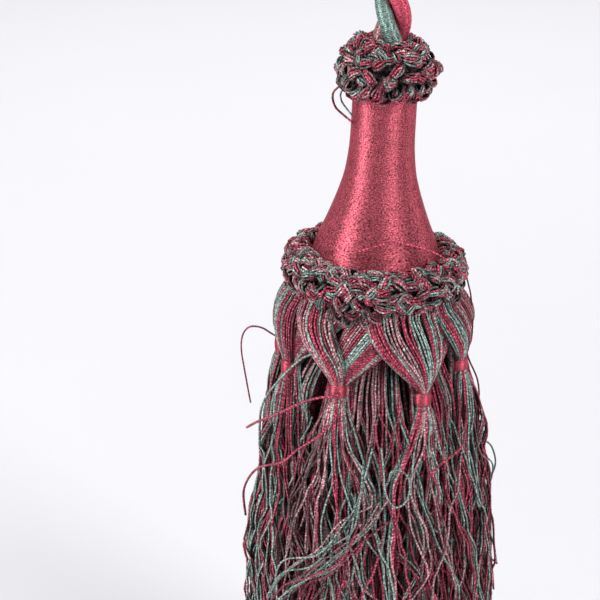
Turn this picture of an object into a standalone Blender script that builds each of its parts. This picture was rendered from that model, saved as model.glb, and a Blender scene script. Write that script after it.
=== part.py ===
"""Curtain tieback tassel: a laid rope with a seized eye, a satin-wound head between two looped
ruffs, crossed hanks of yarn bound at their necks, and a cut-yarn skirt.

Sizes in the tables are millimetres. The origin is the point where a hook carries the rope's eye.
Azimuths are degrees from the front (-Y) towards +X. Heights in the tables are measured from the
centre of the lower ruff, along +Z.
"""

import math
import random

import bmesh
import bpy
from mathutils import Vector

MM = 0.001
OBJECT_NAME = "curtain_tieback_tassel"
PIECE_GAP = 0.3  # between touching pieces
WINDING_GAP = PIECE_GAP + 0.1  # between a winding and what it goes round
CURVE_STEPS = 40  # between two knots of a smooth route

RUFF_LEVEL = -188.0  # centre of the lower ruff below the hook
LEAN = math.radians(2.4)  # of the head and both ruffs, top towards +X
LEVEL_AGAIN = -36.0  # height below which the hanks hang level again

# Head: a turned mould wound in satin thread. Rows run down its outer side.
HEAD_TOP = 72.8
HEAD_SIDES = 28
HEAD_PROFILE = (  # (radius, height)
    (0.0, HEAD_TOP),
    (8.0, HEAD_TOP),
    (10.6, 72.0),
    (11.4, 69.0),
    (11.5, 56.0),
    (11.7, 46.5),
    (12.8, 37.0),
    (14.3, 31.0),
    (16.3, 24.8),
    (18.9, 17.8),
    (21.6, 11.3),
    (23.4, 5.0),
    (24.1, -2.0),
    (23.8, -8.2),
    (0.0, -8.2),
)

# Rope: three plies laid in an S lay round one route.
ROPE_PITCH = 48.0
PLY_RADIUS = 2.8
PLY_ORBIT = 3.7  # from the rope's centreline to a ply's
ROPE_RADIUS = PLY_RADIUS + PLY_ORBIT
PLY_POINTS = 62
FRONT_ALONG = 13.1  # along the rope to where the green ply is foremost
PLIES = (  # (name, phase in degrees, colour)
    ("green", 0.0, (0.20, 0.33, 0.29)),
    ("crimson", 120.0, (0.44, 0.06, 0.10)),
    ("mixed", 240.0, (0.28, 0.17, 0.17)),
)
EYE_HALF = 6.9  # from the eye's middle line to each rope at its throat
ROPE_ROUTE = (  # (x, z below or above the hook), from the head's top round the eye to its end
    (3.14, -113.2),
    (4.5, -102.5),
    (5.15, -92.5),
    (5.3, -83.0),
    (EYE_HALF, -74.0),
    (7.9, -66.0),
    (14.0, -52.0),
    (22.5, -36.0),
    (25.2, -19.0),
    (18.2, -1.5),
    (0.0, ROPE_RADIUS + 0.2),
    (-18.2, -1.5),
    (-25.2, -19.0),
    (-22.5, -36.0),
    (-14.0, -52.0),
    (-7.9, -66.0),
    (-EYE_HALF, -74.0),
    (-EYE_HALF, -80.0),
)
SEIZING_MIDDLE = -75.5
SEIZING_HEIGHT = 12.0
SEIZING_THICK = 1.5
SEIZING_STEPS = 8  # round each of its two ends
SEIZING_SECTION = (  # (share of the thickness, share of the height)
    (0.0, -0.5),
    (0.7, -0.5),
    (1.0, -0.3),
    (1.0, 0.3),
    (0.7, 0.5),
    (0.0, 0.5),
)

# Ruffs: rings of looped yarn. A row is a point of the ring's section; loop is how far its
# loops stand up there.
TOP_RUFF_LEVEL = 76.0
TOP_RUFF_LOOPS = 17
TOP_RUFF_SECTION = (  # (radius, height, loop)
    (11.9, -9.0, 0.0),
    (14.6, -9.8, 1.0),
    (17.1, -6.8, 1.6),
    (18.0, -3.2, 1.8),
    (18.2, 0.8, 1.8),
    (17.4, 4.6, 1.8),
    (15.2, 8.0, 1.8),
    (11.6, 9.6, 1.6),
    (9.0, 9.0, 0.8),
    (7.7, 6.5, 0.0),
    (7.7, -2.6, 0.0),
    (11.9, -2.6, 0.0),
)
LOW_RUFF_LOOPS = 34
LOW_RUFF_SECTION = (  # (radius, height, loop)
    (25.0, -5.5, 0.0),
    (27.4, -7.9, 0.8),
    (30.4, -7.2, 1.3),
    (32.6, -4.4, 1.5),
    (33.4, -0.8, 1.5),
    (32.9, 3.0, 1.5),
    (31.0, 6.2, 1.5),
    (28.4, 8.0, 1.1),
    (26.0, 7.4, 0.5),
    (25.0, 4.0, 0.0),
)
LOOP_UNEVEN = 0.35

# Hanks: eight bundles, each fanned under the lower ruff and bound at its neck.
HANKS = (  # (azimuth of the neck, height of the neck)
    (-98.0, -33.0),
    (-66.5, -33.8),
    (-24.0, -35.5),
    (29.5, -39.3),
    (65.0, -31.8),
    (110.0, -35.5),
    (156.0, -37.0),
    (207.0, -34.5),
)
HANK_RIGHT_SHARE = 0.2  # of the way to the next neck that a hank's fan reaches past its own
HANK_SIDES = 12
HANK_SECTIONS = (  # (height, radius, share of the fan's full spread, half width, half depth)
    (-9.0, 30.2, 1.00, 0.0, 1.8),
    (-13.5, 32.5, 0.97, 0.0, 3.1),
    (-20.0, 33.9, 0.76, 0.4, 3.5),
    (-26.0, 34.3, 0.46, 1.4, 3.4),
    (-31.5, 34.2, 0.17, 2.0, 2.6),
    (-34.4, 34.0, 0.00, 2.3, 2.1),
    (-40.6, 34.1, 0.00, 2.3, 2.1),
    (-44.0, 35.0, 0.00, 4.8, 3.0),
    (-50.0, 36.2, 0.00, 7.6, 3.9),
)
NECK_HEIGHT = -37.5  # of the hank whose sections the table gives
FAN_FILL = 0.94  # share of the room beside its neighbours that a fan takes
BINDING_HEIGHT = 4.7
BINDING_THICK = 0.7
BINDING_SECTION = (  # (share of the thickness, share of the height)
    (0.0, -0.5),
    (0.6, -0.5),
    (1.0, 0.0),
    (0.6, 0.5),
    (0.0, 0.5),
)
NECK_HALF = (2.3, 2.1)  # half width and half depth of a hank inside its binding
FAN_TOP = HANK_SECTIONS[0][0]
NECK_RADIUS = 34.05

# Under hanks: they cross behind the fans, from the upper right down to the next neck.
UNDER_SIDES = 10
BAND_SECTION = ((23.3, -17.0), (27.5, -17.0), (27.5, -9.0), (23.3, -9.0))  # (radius, height)
BAND_STEPS = 40
UNDER_SECTIONS = (  # (height, radius, share of the way to the next neck, half width, half depth)
    (-13.0, 25.4, 0.90, 6.8, 1.7),
    (-19.5, 26.7, 0.66, 6.8, 2.2),
    (-26.0, 27.4, 0.38, 6.0, 2.3),
    (-32.0, 27.3, 0.16, 4.6, 2.1),
    (-37.0, 27.3, 0.04, 3.2, 1.8),
)

# Cut ends: locks of yarn that hang from the hanks' bells and from the core.
SKIRT_END = -170.0
END_UNEVEN = 5.0
LOCK_GAP = 0.22  # share of a lock's room that stays open
LOCK_WAVE = 0.085  # share of a lock's room that it sways to each side
WAVE_TURN = 7.0  # radians of that sway from root to end
LOCK_SPREAD = 0.85  # share of a hank's half width at which its outermost locks start
HANK_COLUMNS = 4
HANK_LOCK_FALL = (  # (share of the fall, share of the swing, share of the reach, size)
    (0.09, 0.50, 0.18, 0.70),
    (0.23, 0.86, 0.40, 0.95),
    (0.48, 1.00, 0.64, 1.00),
    (0.76, 1.00, 0.84, 1.00),
    (1.00, 1.00, 1.00, 0.60),
)
HANK_ROWS = (  # (radius at the ends, half depth, start outside the middle), outer row first
    (47.0, 2.5, 2.2),
    (40.6, 2.3, -2.0),
)
CORE_RIMS = (5.0, 11.0, 17.0, 22.4)
CORE_COLUMNS = 20
CORE_TOP = -9.0
CORE_FOOT = -18.0
CORE_ENDS = ((13.0, 3.0), (23.0, 3.1), (33.0, 3.0))  # (radius at the ends, half depth) by ring
CORE_LOCK_FALL = (  # (share of the fall, share of the swing, share of the reach, size)
    (0.125, 0.10, 0.06, 0.88),
    (0.175, 0.30, 0.52, 0.92),
    (0.40, 0.80, 0.72, 1.00),
    (0.68, 1.00, 0.88, 1.00),
    (1.00, 1.00, 1.00, 0.60),
)
SEED = 11

CRIMSON = (0.44, 0.06, 0.10)
MIXED_YARN = (0.24, 0.13, 0.14)
RUFF_YARN = (0.26, 0.15, 0.16)


def at(azimuth, radius, height):
    """Point in metres at an azimuth in degrees, a radius and a height from the lower ruff. Near
    the ruff the levels lean with it."""
    turn = math.radians(azimuth)
    x, y = radius * math.sin(turn), -radius * math.cos(turn)
    share = min(1.0, max(0.0, (height - LEVEL_AGAIN) / (FAN_TOP - LEVEL_AGAIN)))
    return Vector((x, y, RUFF_LEVEL + height - share * x * math.tan(LEAN))) * MM


def on_lean(height):
    """Point in metres on the leaning axis, at a height along it from the lower ruff."""
    return Vector((height * math.sin(LEAN), 0.0, RUFF_LEVEL + height * math.cos(LEAN))) * MM


def between(start, end, share):
    """Value at a share of the way from start to end."""
    return start + (end - start) * share


def clear_scene():
    """Remove every object of the open scene."""
    for old in list(bpy.data.objects):
        bpy.data.objects.remove(old, do_unlink=True)


def new_collection(name):
    """Collection of that name, linked to the scene."""
    made = bpy.data.collections.new(name)
    bpy.context.scene.collection.children.link(made)
    return made


def fabric(name, colour, roughness):
    """Principled material of one yarn or thread."""
    made = bpy.data.materials.new(name)
    made.use_nodes = True
    shader = made.node_tree.nodes["Principled BSDF"]
    shader.inputs["Base Color"].default_value = (*colour, 1.0)
    shader.inputs["Roughness"].default_value = roughness
    shader.inputs["Metallic"].default_value = 0.0
    return made


def add_object(name, data, material, home):
    """Object of that name, with its material, in its collection."""
    made = bpy.data.objects.new(name, data)
    data.materials.append(material)
    home.objects.link(made)
    return made


def finish_mesh(name, bm, material, home, smooth=True):
    """Close a bmesh into a named object with its faces pointing out."""
    bmesh.ops.recalc_face_normals(bm, faces=bm.faces)
    mesh = bpy.data.meshes.new(name)
    bm.to_mesh(mesh)
    bm.free()
    if smooth:
        mesh.shade_smooth()
    return add_object(name, mesh, material, home)


def bridge(bm, first, second):
    """Quads between two rings of points."""
    count = len(first)
    for i in range(count):
        j = (i + 1) % count
        bm.faces.new((first[i], first[j], second[j], second[i]))


def smooth_route(knots, count):
    """Points evenly spaced along a Catmull-Rom curve through (x, z) knots, in millimetres."""
    fine = []
    padded = [knots[0], *knots, knots[-1]]
    for a, b, c, d in zip(padded, padded[1:], padded[2:], padded[3:]):
        pa, pb, pc, pd = (Vector((k[0], 0.0, k[1])) for k in (a, b, c, d))
        for step in range(CURVE_STEPS):
            t = step / CURVE_STEPS
            spread = (2 * pa - 5 * pb + 4 * pc - pd) * t * t + (3 * pb - pa - 3 * pc + pd) * t ** 3
            fine.append((2 * pb + (pc - pa) * t + spread) * 0.5)
    fine.append(Vector((knots[-1][0], 0.0, knots[-1][1])))
    lengths = [0.0]
    for a, b in zip(fine, fine[1:]):
        lengths.append(lengths[-1] + (b - a).length)
    points = []
    at_fine = 0
    for i in range(count):
        target = lengths[-1] * i / (count - 1)
        while at_fine < len(fine) - 2 and lengths[at_fine + 1] < target:
            at_fine += 1
        run = max(lengths[at_fine + 1] - lengths[at_fine], 1e-9)
        points.append((target, fine[at_fine].lerp(fine[at_fine + 1], (target - lengths[at_fine]) / run)))
    return points


def make_ply(name, phase, material, home):
    """One ply of the rope: a tube that winds round the rope's route."""
    route = smooth_route(ROPE_ROUTE, PLY_POINTS)
    curve = bpy.data.curves.new(name, "CURVE")
    curve.dimensions = "3D"
    curve.bevel_depth = PLY_RADIUS * MM
    curve.bevel_resolution = 2
    curve.use_fill_caps = True
    spline = curve.splines.new("POLY")
    spline.points.add(len(route) - 1)
    for i, (along, middle) in enumerate(route):
        before = route[max(i - 1, 0)][1]
        after = route[min(i + 1, len(route) - 1)][1]
        run = (after - before).normalized()
        side = Vector((0.0, 1.0, 0.0)).cross(run)
        turn = math.radians(phase - 90.0) - 2 * math.pi * (along - FRONT_ALONG) / ROPE_PITCH
        place = middle + PLY_ORBIT * (math.cos(turn) * side + math.sin(turn) * Vector((0.0, 1.0, 0.0)))
        spline.points[i].co = (*(place * MM), 1.0)
    return add_object(name, curve, material, home)


def make_seizing(material, home):
    """Band of thread round the two ropes at the eye's throat, a ring with two round ends."""
    inner = ROPE_RADIUS + WINDING_GAP
    bm = bmesh.new()
    rings = []
    for end in (1, -1):
        for step in range(SEIZING_STEPS + 1):
            turn = math.pi * step / SEIZING_STEPS - math.pi / 2
            ring = []
            for out, share in SEIZING_SECTION:
                reach = inner + out * SEIZING_THICK
                x = end * (EYE_HALF + reach * math.cos(turn))
                y = end * reach * math.sin(turn)
                ring.append(bm.verts.new(Vector((x, y, SEIZING_MIDDLE + share * SEIZING_HEIGHT)) * MM))
            rings.append(ring)
    for first, second in zip(rings, rings[1:] + rings[:1]):
        bridge(bm, first, second)
    return finish_mesh("eye_seizing", bm, material, home)


def make_ruff(name, section, loops, seed, material, home):
    """Ring of looped yarn about local Z: staggered knobs stand on its outer rows."""
    chance = random.Random(seed)
    bm = bmesh.new()
    middle_radius = sum(row[0] for row in section) / len(section)
    middle_height = sum(row[1] for row in section) / len(section)
    rings = []
    for step in range(2 * loops):
        turn = math.pi * step / loops
        ring = []
        for index, (radius, height, loop) in enumerate(section):
            raised = (step + index) % 2
            stand = loop * (raised - 0.5 + chance.uniform(-LOOP_UNEVEN, LOOP_UNEVEN))
            away = Vector((radius - middle_radius, height - middle_height)).normalized() * stand
            reach = radius + away.x
            place = (reach * math.sin(turn), -reach * math.cos(turn), height + away.y)
            ring.append(bm.verts.new(Vector(place) * MM))
        rings.append(ring)
    for first, second in zip(rings, rings[1:] + rings[:1]):
        bridge(bm, first, second)
    return finish_mesh(name, bm, material, home)


def make_head(material, home):
    """Satin-wound mould: its outer profile turned about its own axis."""
    mesh = bpy.data.meshes.new("head")
    points = [(radius * MM, 0.0, height * MM) for radius, height in HEAD_PROFILE]
    mesh.from_pydata(points, [(i, i + 1) for i in range(len(points) - 1)], [])
    made = add_object("head", mesh, material, home)
    turned = made.modifiers.new("turned", "SCREW")
    turned.steps = HEAD_SIDES
    turned.render_steps = HEAD_SIDES
    turned.use_merge_vertices = True
    turned.merge_threshold = 0.00001
    return made


def lean_with_head(made, height):
    """Seat an object at a height on the leaning axis, leaning with it."""
    made.location = on_lean(height)
    made.rotation_euler = (0.0, LEAN, 0.0)


def hank_height(index, height):
    """Height of a section of one hank, whose neck is higher or lower than the table's."""
    return FAN_TOP + (height - FAN_TOP) * (HANKS[index][1] - FAN_TOP) / (NECK_HEIGHT - FAN_TOP)


def hank_edges(index):
    """Azimuths of a hank: the neck before it, its fan's left edge, its neck, its fan's right
    edge and the neck after it."""
    necks = [azimuth for azimuth, _ in HANKS]
    last = necks[index - 1] - (360.0 if index == 0 else 0.0)
    neck = necks[index]
    following = necks[(index + 1) % len(necks)] + (360.0 if index == len(necks) - 1 else 0.0)
    left = between(last, neck, HANK_RIGHT_SHARE)
    right = between(neck, following, HANK_RIGHT_SHARE)
    return last, left, neck, right, following


def hank_ring(bm, azimuth, radius, height, half_width, half_depth, sides):
    """Oval ring of points that follows the circle round the tassel's axis."""
    ring = []
    for i in range(sides):
        turn = 2 * math.pi * i / sides
        swing = math.degrees(half_width * math.cos(turn) / radius)
        reach = radius + half_depth * math.sin(turn)
        ring.append(bm.verts.new(at(azimuth + swing, reach, height)))
    return ring


def drop_lock(bm, face, stations):
    """Draw a face of the foot down into a four-sided lock through (azimuth, radius, height,
    half width, half depth) stations."""
    middle = face.calc_center_median()
    home_turn = math.atan2(middle.x, -middle.y)
    home_reach = math.hypot(middle.x, middle.y)
    bmesh.ops.inset_individual(bm, faces=[face], thickness=PIECE_GAP * MM, use_even_offset=True)
    corners = []
    for vert in face.verts:
        turn = math.atan2(vert.co.x, -vert.co.y) - home_turn
        turn = math.atan2(math.sin(turn), math.cos(turn))
        reach = math.hypot(vert.co.x, vert.co.y) - home_reach
        corners.append((1 if turn > 0 else -1, 1 if reach > 0 else -1))
    for azimuth, radius, height, half_width, half_depth in stations:
        face = bmesh.ops.extrude_discrete_faces(bm, faces=[face])["faces"][0]
        for vert, (across, out) in zip(face.verts, corners):
            swing = math.degrees(across * half_width / radius)
            vert.co = at(azimuth + swing, radius + out * half_depth, height)


def lock_stations(chance, start, end, room, half_depth, fall):
    """Stations of one lock from its root (azimuth, radius, height) to its end."""
    phase = chance.uniform(0.0, 2 * math.pi)
    length = end[2] + chance.uniform(-END_UNEVEN, END_UNEVEN)
    stations = []
    for drop, swing, reach, size in fall:
        radius = between(start[1], end[1], reach)
        sway = LOCK_WAVE * room * swing * math.sin(phase + WAVE_TURN * drop)
        half_width = 0.5 * (1.0 - LOCK_GAP) * math.radians(room) * radius * size
        azimuth = between(start[0], end[0], swing) + sway
        height = between(start[2], length, drop)
        stations.append((azimuth, radius, height, half_width, half_depth * size))
    return stations


def close_hank_foot(bm, ring, middles):
    """Fill a hank's last ring with two rows of cells, and return them outer row first."""
    outer = [ring[i] for i in (5, 4, 3, 2, 1)]
    inner = [ring[i] for i in (7, 8, 9, 10, 11)]
    line = [ring[6], *middles, ring[0]]
    cells = []
    for row, edge in enumerate((outer, inner)):
        for i in range(HANK_COLUMNS):
            cells.append((row, i, bm.faces.new((edge[i], edge[i + 1], line[i + 1], line[i]))))
    return cells


def make_hank(index, material, home):
    """One hank: its leaning fan, its neck, the bell below its binding and its cut ends."""
    chance = random.Random(SEED + index)
    last, left, neck, right, following = hank_edges(index)
    bm = bmesh.new()
    rings = []
    for height, radius, spread, half_width, half_depth in HANK_SECTIONS:
        fan = math.radians(right - left) * radius / 2 - PIECE_GAP
        width = half_width + fan * spread * FAN_FILL
        azimuth = between(neck, (left + right) / 2, spread)
        level = hank_height(index, height)
        rings.append(hank_ring(bm, azimuth, radius, level, width, half_depth, HANK_SIDES))
    bm.faces.new(rings[0])
    for first, second in zip(rings, rings[1:]):
        bridge(bm, first, second)
    height, radius, _, half_width, _ = HANK_SECTIONS[-1]
    height = hank_height(index, height)
    middles = []
    for share in (-0.5, 0.0, 0.5):
        middles.append(bm.verts.new(at(neck + math.degrees(share * half_width / radius), radius, height)))
    low = (last + neck) / 2
    room = ((neck + following) / 2 - low) / HANK_COLUMNS
    for row, column, cell in close_hank_foot(bm, rings[-1], middles):
        end_radius, half_depth, outward = HANK_ROWS[row]
        share = (column + 0.5) / HANK_COLUMNS * 2 - 1
        start = (
            neck + math.degrees(LOCK_SPREAD * share * half_width / radius),
            radius + outward,
            height,
        )
        end = (low + room * (column + 0.5), end_radius, SKIRT_END)
        drop_lock(bm, cell, lock_stations(chance, start, end, room, half_depth, HANK_LOCK_FALL))
    return finish_mesh(f"hank_{index + 1}", bm, material, home, smooth=False)


def make_binding(index, material, home):
    """Satin whipping round one hank's neck."""
    azimuth, middle = HANKS[index]
    bm = bmesh.new()
    rings = []
    for out, share in BINDING_SECTION:
        height = middle + share * BINDING_HEIGHT
        reach = WINDING_GAP + out * BINDING_THICK
        half_width, half_depth = NECK_HALF[0] + reach, NECK_HALF[1] + reach
        rings.append(hank_ring(bm, azimuth, NECK_RADIUS, height, half_width, half_depth, HANK_SIDES))
    for first, second in zip(rings, rings[1:] + rings[:1]):
        bridge(bm, first, second)
    return finish_mesh(f"hank_binding_{index + 1}", bm, material, home)


def make_under_hanks(material, home, cutters):
    """Band under the ruff with the crossing hanks that hang from it, joined in one body."""
    legs = bmesh.new()
    for index in range(len(HANKS)):
        _, _, neck, _, following = hank_edges(index)
        rings = []
        for height, radius, share, half_width, half_depth in UNDER_SECTIONS:
            azimuth = between(neck, following, share)
            level = hank_height(index, height)
            rings.append(hank_ring(legs, azimuth, radius, level, half_width, half_depth, UNDER_SIDES))
        legs.faces.new(rings[0])
        for first, second in zip(rings, rings[1:]):
            bridge(legs, first, second)
        legs.faces.new(rings[-1])
    cutter = finish_mesh("under_hank_legs", legs, material, cutters)
    cutter.hide_render = True
    cutter.display_type = "WIRE"
    band = bmesh.new()
    rings = []
    for step in range(BAND_STEPS):
        azimuth = 360.0 * (step + 0.5) / BAND_STEPS
        rings.append([band.verts.new(at(azimuth, radius, height)) for radius, height in BAND_SECTION])
    for first, second in zip(rings, rings[1:] + rings[:1]):
        bridge(band, first, second)
    made = finish_mesh("under_hanks", band, material, home, smooth=False)
    joined = made.modifiers.new("joined", "BOOLEAN")
    joined.operation = "UNION"
    joined.solver = "EXACT"
    joined.object = cutter
    return made


def make_skirt(material, home):
    """Core of the skirt: a plug under the head, and the rings of locks that hang from it."""
    chance = random.Random(SEED)
    room = 360.0 / CORE_COLUMNS
    bm = bmesh.new()
    top = [bm.verts.new(at(room * i, CORE_RIMS[-1], CORE_TOP)) for i in range(CORE_COLUMNS)]
    rims = []
    for radius in CORE_RIMS:
        rims.append([bm.verts.new(at(room * i, radius, CORE_FOOT)) for i in range(CORE_COLUMNS)])
    bm.faces.new(top)
    bm.faces.new(rims[0])
    bridge(bm, top, rims[-1])
    for ring, (end_radius, half_depth) in enumerate(CORE_ENDS):
        inside, outside = rims[ring], rims[ring + 1]
        radius = (CORE_RIMS[ring] + CORE_RIMS[ring + 1]) / 2
        for i in range(CORE_COLUMNS):
            j = (i + 1) % CORE_COLUMNS
            cell = bm.faces.new((inside[i], inside[j], outside[j], outside[i]))
            azimuth = room * (i + 0.5)
            start = (azimuth, radius, CORE_FOOT)
            end = (azimuth + room * 0.5 * (ring % 2), end_radius, SKIRT_END)
            drop_lock(bm, cell, lock_stations(chance, start, end, room, half_depth, CORE_LOCK_FALL))
    return finish_mesh("skirt", bm, material, home, smooth=False)


def main():
    """Build every piece of the tassel."""
    clear_scene()
    home = new_collection(OBJECT_NAME)
    cutters = new_collection("cutters")
    satin = fabric("crimson_satin_thread", CRIMSON, 0.45)
    ruff_yarn = fabric("looped_two_colour_yarn", RUFF_YARN, 0.85)
    yarn = fabric("cut_two_colour_yarn", MIXED_YARN, 0.85)
    for name, phase, colour in PLIES:
        make_ply(f"rope_ply_{name}", phase, fabric(f"{name}_wound_ply", colour, 0.6), home)
    make_seizing(satin, home)
    top_ruff = make_ruff("top_ruff", TOP_RUFF_SECTION, TOP_RUFF_LOOPS, SEED, ruff_yarn, home)
    lean_with_head(top_ruff, TOP_RUFF_LEVEL)
    lean_with_head(make_head(satin, home), 0.0)
    low_ruff = make_ruff("lower_ruff", LOW_RUFF_SECTION, LOW_RUFF_LOOPS, SEED + 1, ruff_yarn, home)
    lean_with_head(low_ruff, 0.0)
    make_under_hanks(yarn, home, cutters)
    for index in range(len(HANKS)):
        make_hank(index, yarn, home)
        make_binding(index, satin, home)
    make_skirt(yarn, home)


main()
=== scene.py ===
"""Curtain tieback tassel, dressed: a wound rope with its eye, a satin-wound head between two
looped ruffs, crossed hanks of yarn bound at their necks, and a long cut-yarn skirt."""

import logging
import math
from dataclasses import dataclass, field, replace
from enum import Enum
from typing import Iterable, Sequence

import bpy
import numpy as np
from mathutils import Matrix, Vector


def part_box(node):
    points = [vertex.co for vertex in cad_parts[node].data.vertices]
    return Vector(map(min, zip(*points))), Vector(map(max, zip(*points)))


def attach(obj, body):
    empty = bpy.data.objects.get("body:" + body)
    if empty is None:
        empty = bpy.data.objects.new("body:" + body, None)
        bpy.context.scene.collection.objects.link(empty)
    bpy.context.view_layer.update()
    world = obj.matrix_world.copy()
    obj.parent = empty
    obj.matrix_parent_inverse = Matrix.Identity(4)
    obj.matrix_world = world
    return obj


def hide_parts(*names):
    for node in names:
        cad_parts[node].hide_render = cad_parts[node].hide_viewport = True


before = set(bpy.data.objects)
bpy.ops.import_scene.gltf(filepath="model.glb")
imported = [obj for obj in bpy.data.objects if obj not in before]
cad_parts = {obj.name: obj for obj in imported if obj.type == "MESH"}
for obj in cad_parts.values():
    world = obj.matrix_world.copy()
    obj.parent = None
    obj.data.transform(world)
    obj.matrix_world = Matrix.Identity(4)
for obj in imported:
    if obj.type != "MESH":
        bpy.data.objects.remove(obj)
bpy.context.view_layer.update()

MM = 0.001
LEAN = math.radians(2.4)  # of the head and both ruffs, top towards +X
LEANS_FROM = -36.0  # height under the lower ruff from which the skirt's levels begin to lean
LEANS_FULLY = -9.0  # and from which they lean as it does
HANK_COUNT = 8
BODY = "root"
LOG = logging.getLogger("tassel")

Tree = bpy.types.NodeTree
Node = bpy.types.Node
Socket = bpy.types.NodeSocket
Row = tuple[float, float, float]  # azimuth in degrees, radius and height in millimetres


class Tone(Enum):
    """Which of the two dyes a yarn's two plies have."""

    CRIMSON = 0.0
    MARLED = 0.5
    TEAL = 1.0


# ---------------------------------------------------------------------------- places


def centre_mm(node: str) -> np.ndarray:
    """Middle of a CAD node's box.

    Args:
        node: The CAD node's name.

    Returns:
        Its middle in millimetres.
    """
    low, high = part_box(node)
    return np.array((low + high) / 2) / MM


RUFF_LEVEL = centre_mm("lower_ruff")[2]


def at(azimuth: np.ndarray, radius: np.ndarray, height: np.ndarray) -> np.ndarray:
    """Points round the tassel's axis; near the ruff the levels lean with it.

    Args:
        azimuth: Degrees from the front towards +X.
        radius: Millimetres from the axis.
        height: Millimetres above the lower ruff's centre.

    Returns:
        Points in metres, one row each.
    """
    azimuth, radius, height = np.broadcast_arrays(azimuth, radius, height)
    turn = np.radians(azimuth)
    x, y = radius * np.sin(turn), -radius * np.cos(turn)
    share = np.clip((height - LEANS_FROM) / (LEANS_FULLY - LEANS_FROM), 0.0, 1.0)
    return np.stack([x, y, RUFF_LEVEL + height - share * x * math.tan(LEAN)], axis=-1) * MM


def leaning(points: np.ndarray, height: float) -> np.ndarray:
    """Points about the leaning axis put in their place.

    Args:
        points: Points in millimetres, about local Z.
        height: Height of their origin along the leaning axis, from the lower ruff.

    Returns:
        Points in metres in the row frame.
    """
    x, y, z = points[..., 0], points[..., 1], points[..., 2] + height
    across = x * math.cos(LEAN) + z * math.sin(LEAN)
    up = z * math.cos(LEAN) - x * math.sin(LEAN) + RUFF_LEVEL
    return np.stack([across, y, up], axis=-1) * MM


def smooth_path(knots: np.ndarray, count: int) -> np.ndarray:
    """Evenly spaced points along a Catmull-Rom curve through its knots.

    Args:
        knots: The curve's own points, one row each.
        count: How many points to return.

    Returns:
        The points, one row each.
    """
    knots = np.asarray(knots, float)
    padded = np.vstack([knots[:1], knots, knots[-1:]])
    t = np.linspace(0.0, 1.0, 24, endpoint=False)[:, None]
    runs = []
    for a, b, c, d in zip(padded, padded[1:], padded[2:], padded[3:]):
        bend = (2 * a - 5 * b + 4 * c - d) * t**2 + (3 * b - a - 3 * c + d) * t**3
        runs.append((2 * b + (c - a) * t + bend) * 0.5)
    fine = np.vstack([*runs, knots[-1:]])
    along = np.concatenate([[0.0], np.cumsum(np.linalg.norm(np.diff(fine, axis=0), axis=1))])
    wanted = np.linspace(0.0, along[-1], count)
    return np.stack([np.interp(wanted, along, fine[:, k]) for k in range(fine.shape[1])], axis=1)


def even_turns(count: int, first: float, last: float, flat: float) -> np.ndarray:
    """Angles round a flat oval for yarns that lie evenly side by side on it.

    Args:
        count: How many yarns.
        first: Degrees where the first one's place begins.
        last: Degrees where the last one's place ends.
        flat: The oval's width over its depth.

    Returns:
        One angle a yarn, in radians.
    """
    turn = np.radians(np.linspace(first, last, 200))
    steps = np.hypot(np.diff(flat * np.cos(turn)), np.diff(np.sin(turn)))
    along = np.concatenate([[0.0], np.cumsum(steps)])
    return np.interp((np.arange(count) + 0.5) / count * along[-1], along, turn)


# ---------------------------------------------------------------------------- node trees


MATHS = "ShaderNodeMath"
VECTOR = "ShaderNodeVectorMath"
RANGE = "ShaderNodeMapRange"  # of (value, its least, its most, the new least, the new most)
MIX = "ShaderNodeMix"  # of colours: {0: share of the second, 6: first, 7: second}, output 2
NOISE = "ShaderNodeTexNoise"
ATTRIBUTE = "ShaderNodeAttribute"
KEPT = "GeometryNodeInputNamedAttribute"
STORE = "GeometryNodeStoreNamedAttribute"
STRAND_GAP = 3.71  # in the noise, between one strand of a piece and the next


def wire(tree: Tree, node: Node, links: dict | Sequence) -> None:
    """Link or set a node's inputs.

    Args:
        tree: The node's tree.
        node: The node.
        links: What its inputs get, by name or number, or else the first ones in order: each a value
            to set, a socket to link, or a node whose first output is linked.
    """
    for key, value in links.items() if isinstance(links, dict) else enumerate(links):
        source = value.outputs[0] if isinstance(value, Node) else value
        if isinstance(source, Socket):
            tree.links.new(source, node.inputs[key])
        else:
            node.inputs[key].default_value = source


def add(tree: Tree, kind: str, links: dict | Sequence = (), **settings: object) -> Node:
    """Add one node with its settings, values and links.

    Args:
        tree: The tree that gets the node.
        kind: The node's type.
        links: Its inputs, as wire takes them.
        settings: The node's own properties.

    Returns:
        The node.
    """
    made = tree.nodes.new(kind)
    for key, value in settings.items():
        setattr(made, key, value)
    wire(tree, made, links)
    return made


def linear(code: str) -> tuple[float, float, float, float]:
    """Linear colour of an sRGB hex code.

    Args:
        code: Such as "#B2344C".

    Returns:
        Red, green, blue and an alpha of 1.
    """
    parts = [int(code[i : i + 2], 16) / 255 for i in (1, 3, 5)]
    return (*(p / 12.92 if p <= 0.04045 else ((p + 0.055) / 1.055) ** 2.4 for p in parts), 1.0)


def sway(tree: Tree, which: Node, wave: Socket, reach: Socket) -> Node:
    """Offset of each point by smooth noise of its place.

    Args:
        tree: The geometry tree.
        which: Number that parts one strand's noise from another's.
        wave: Length of the noise's waves.
        reach: Width of the sway.

    Returns:
        The node that gives the offset.
    """
    place = add(tree, "GeometryNodeInputPosition")
    spread = add(tree, VECTOR, (place, wave), operation="DIVIDE")
    links = {"Vector": spread, "W": which, "Scale": 1.0, "Detail": 1.0}
    drift = add(tree, NOISE, links, noise_dimensions="4D").outputs["Color"]
    centred = add(tree, VECTOR, (drift, (0.5, 0.5, 0.5)), operation="SUBTRACT")
    slack = add(tree, KEPT, ["slack"])
    free = add(tree, MATHS, (slack, reach), operation="MULTIPLY")
    return add(tree, VECTOR, {0: centred, "Scale": free}, operation="SCALE")


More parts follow.
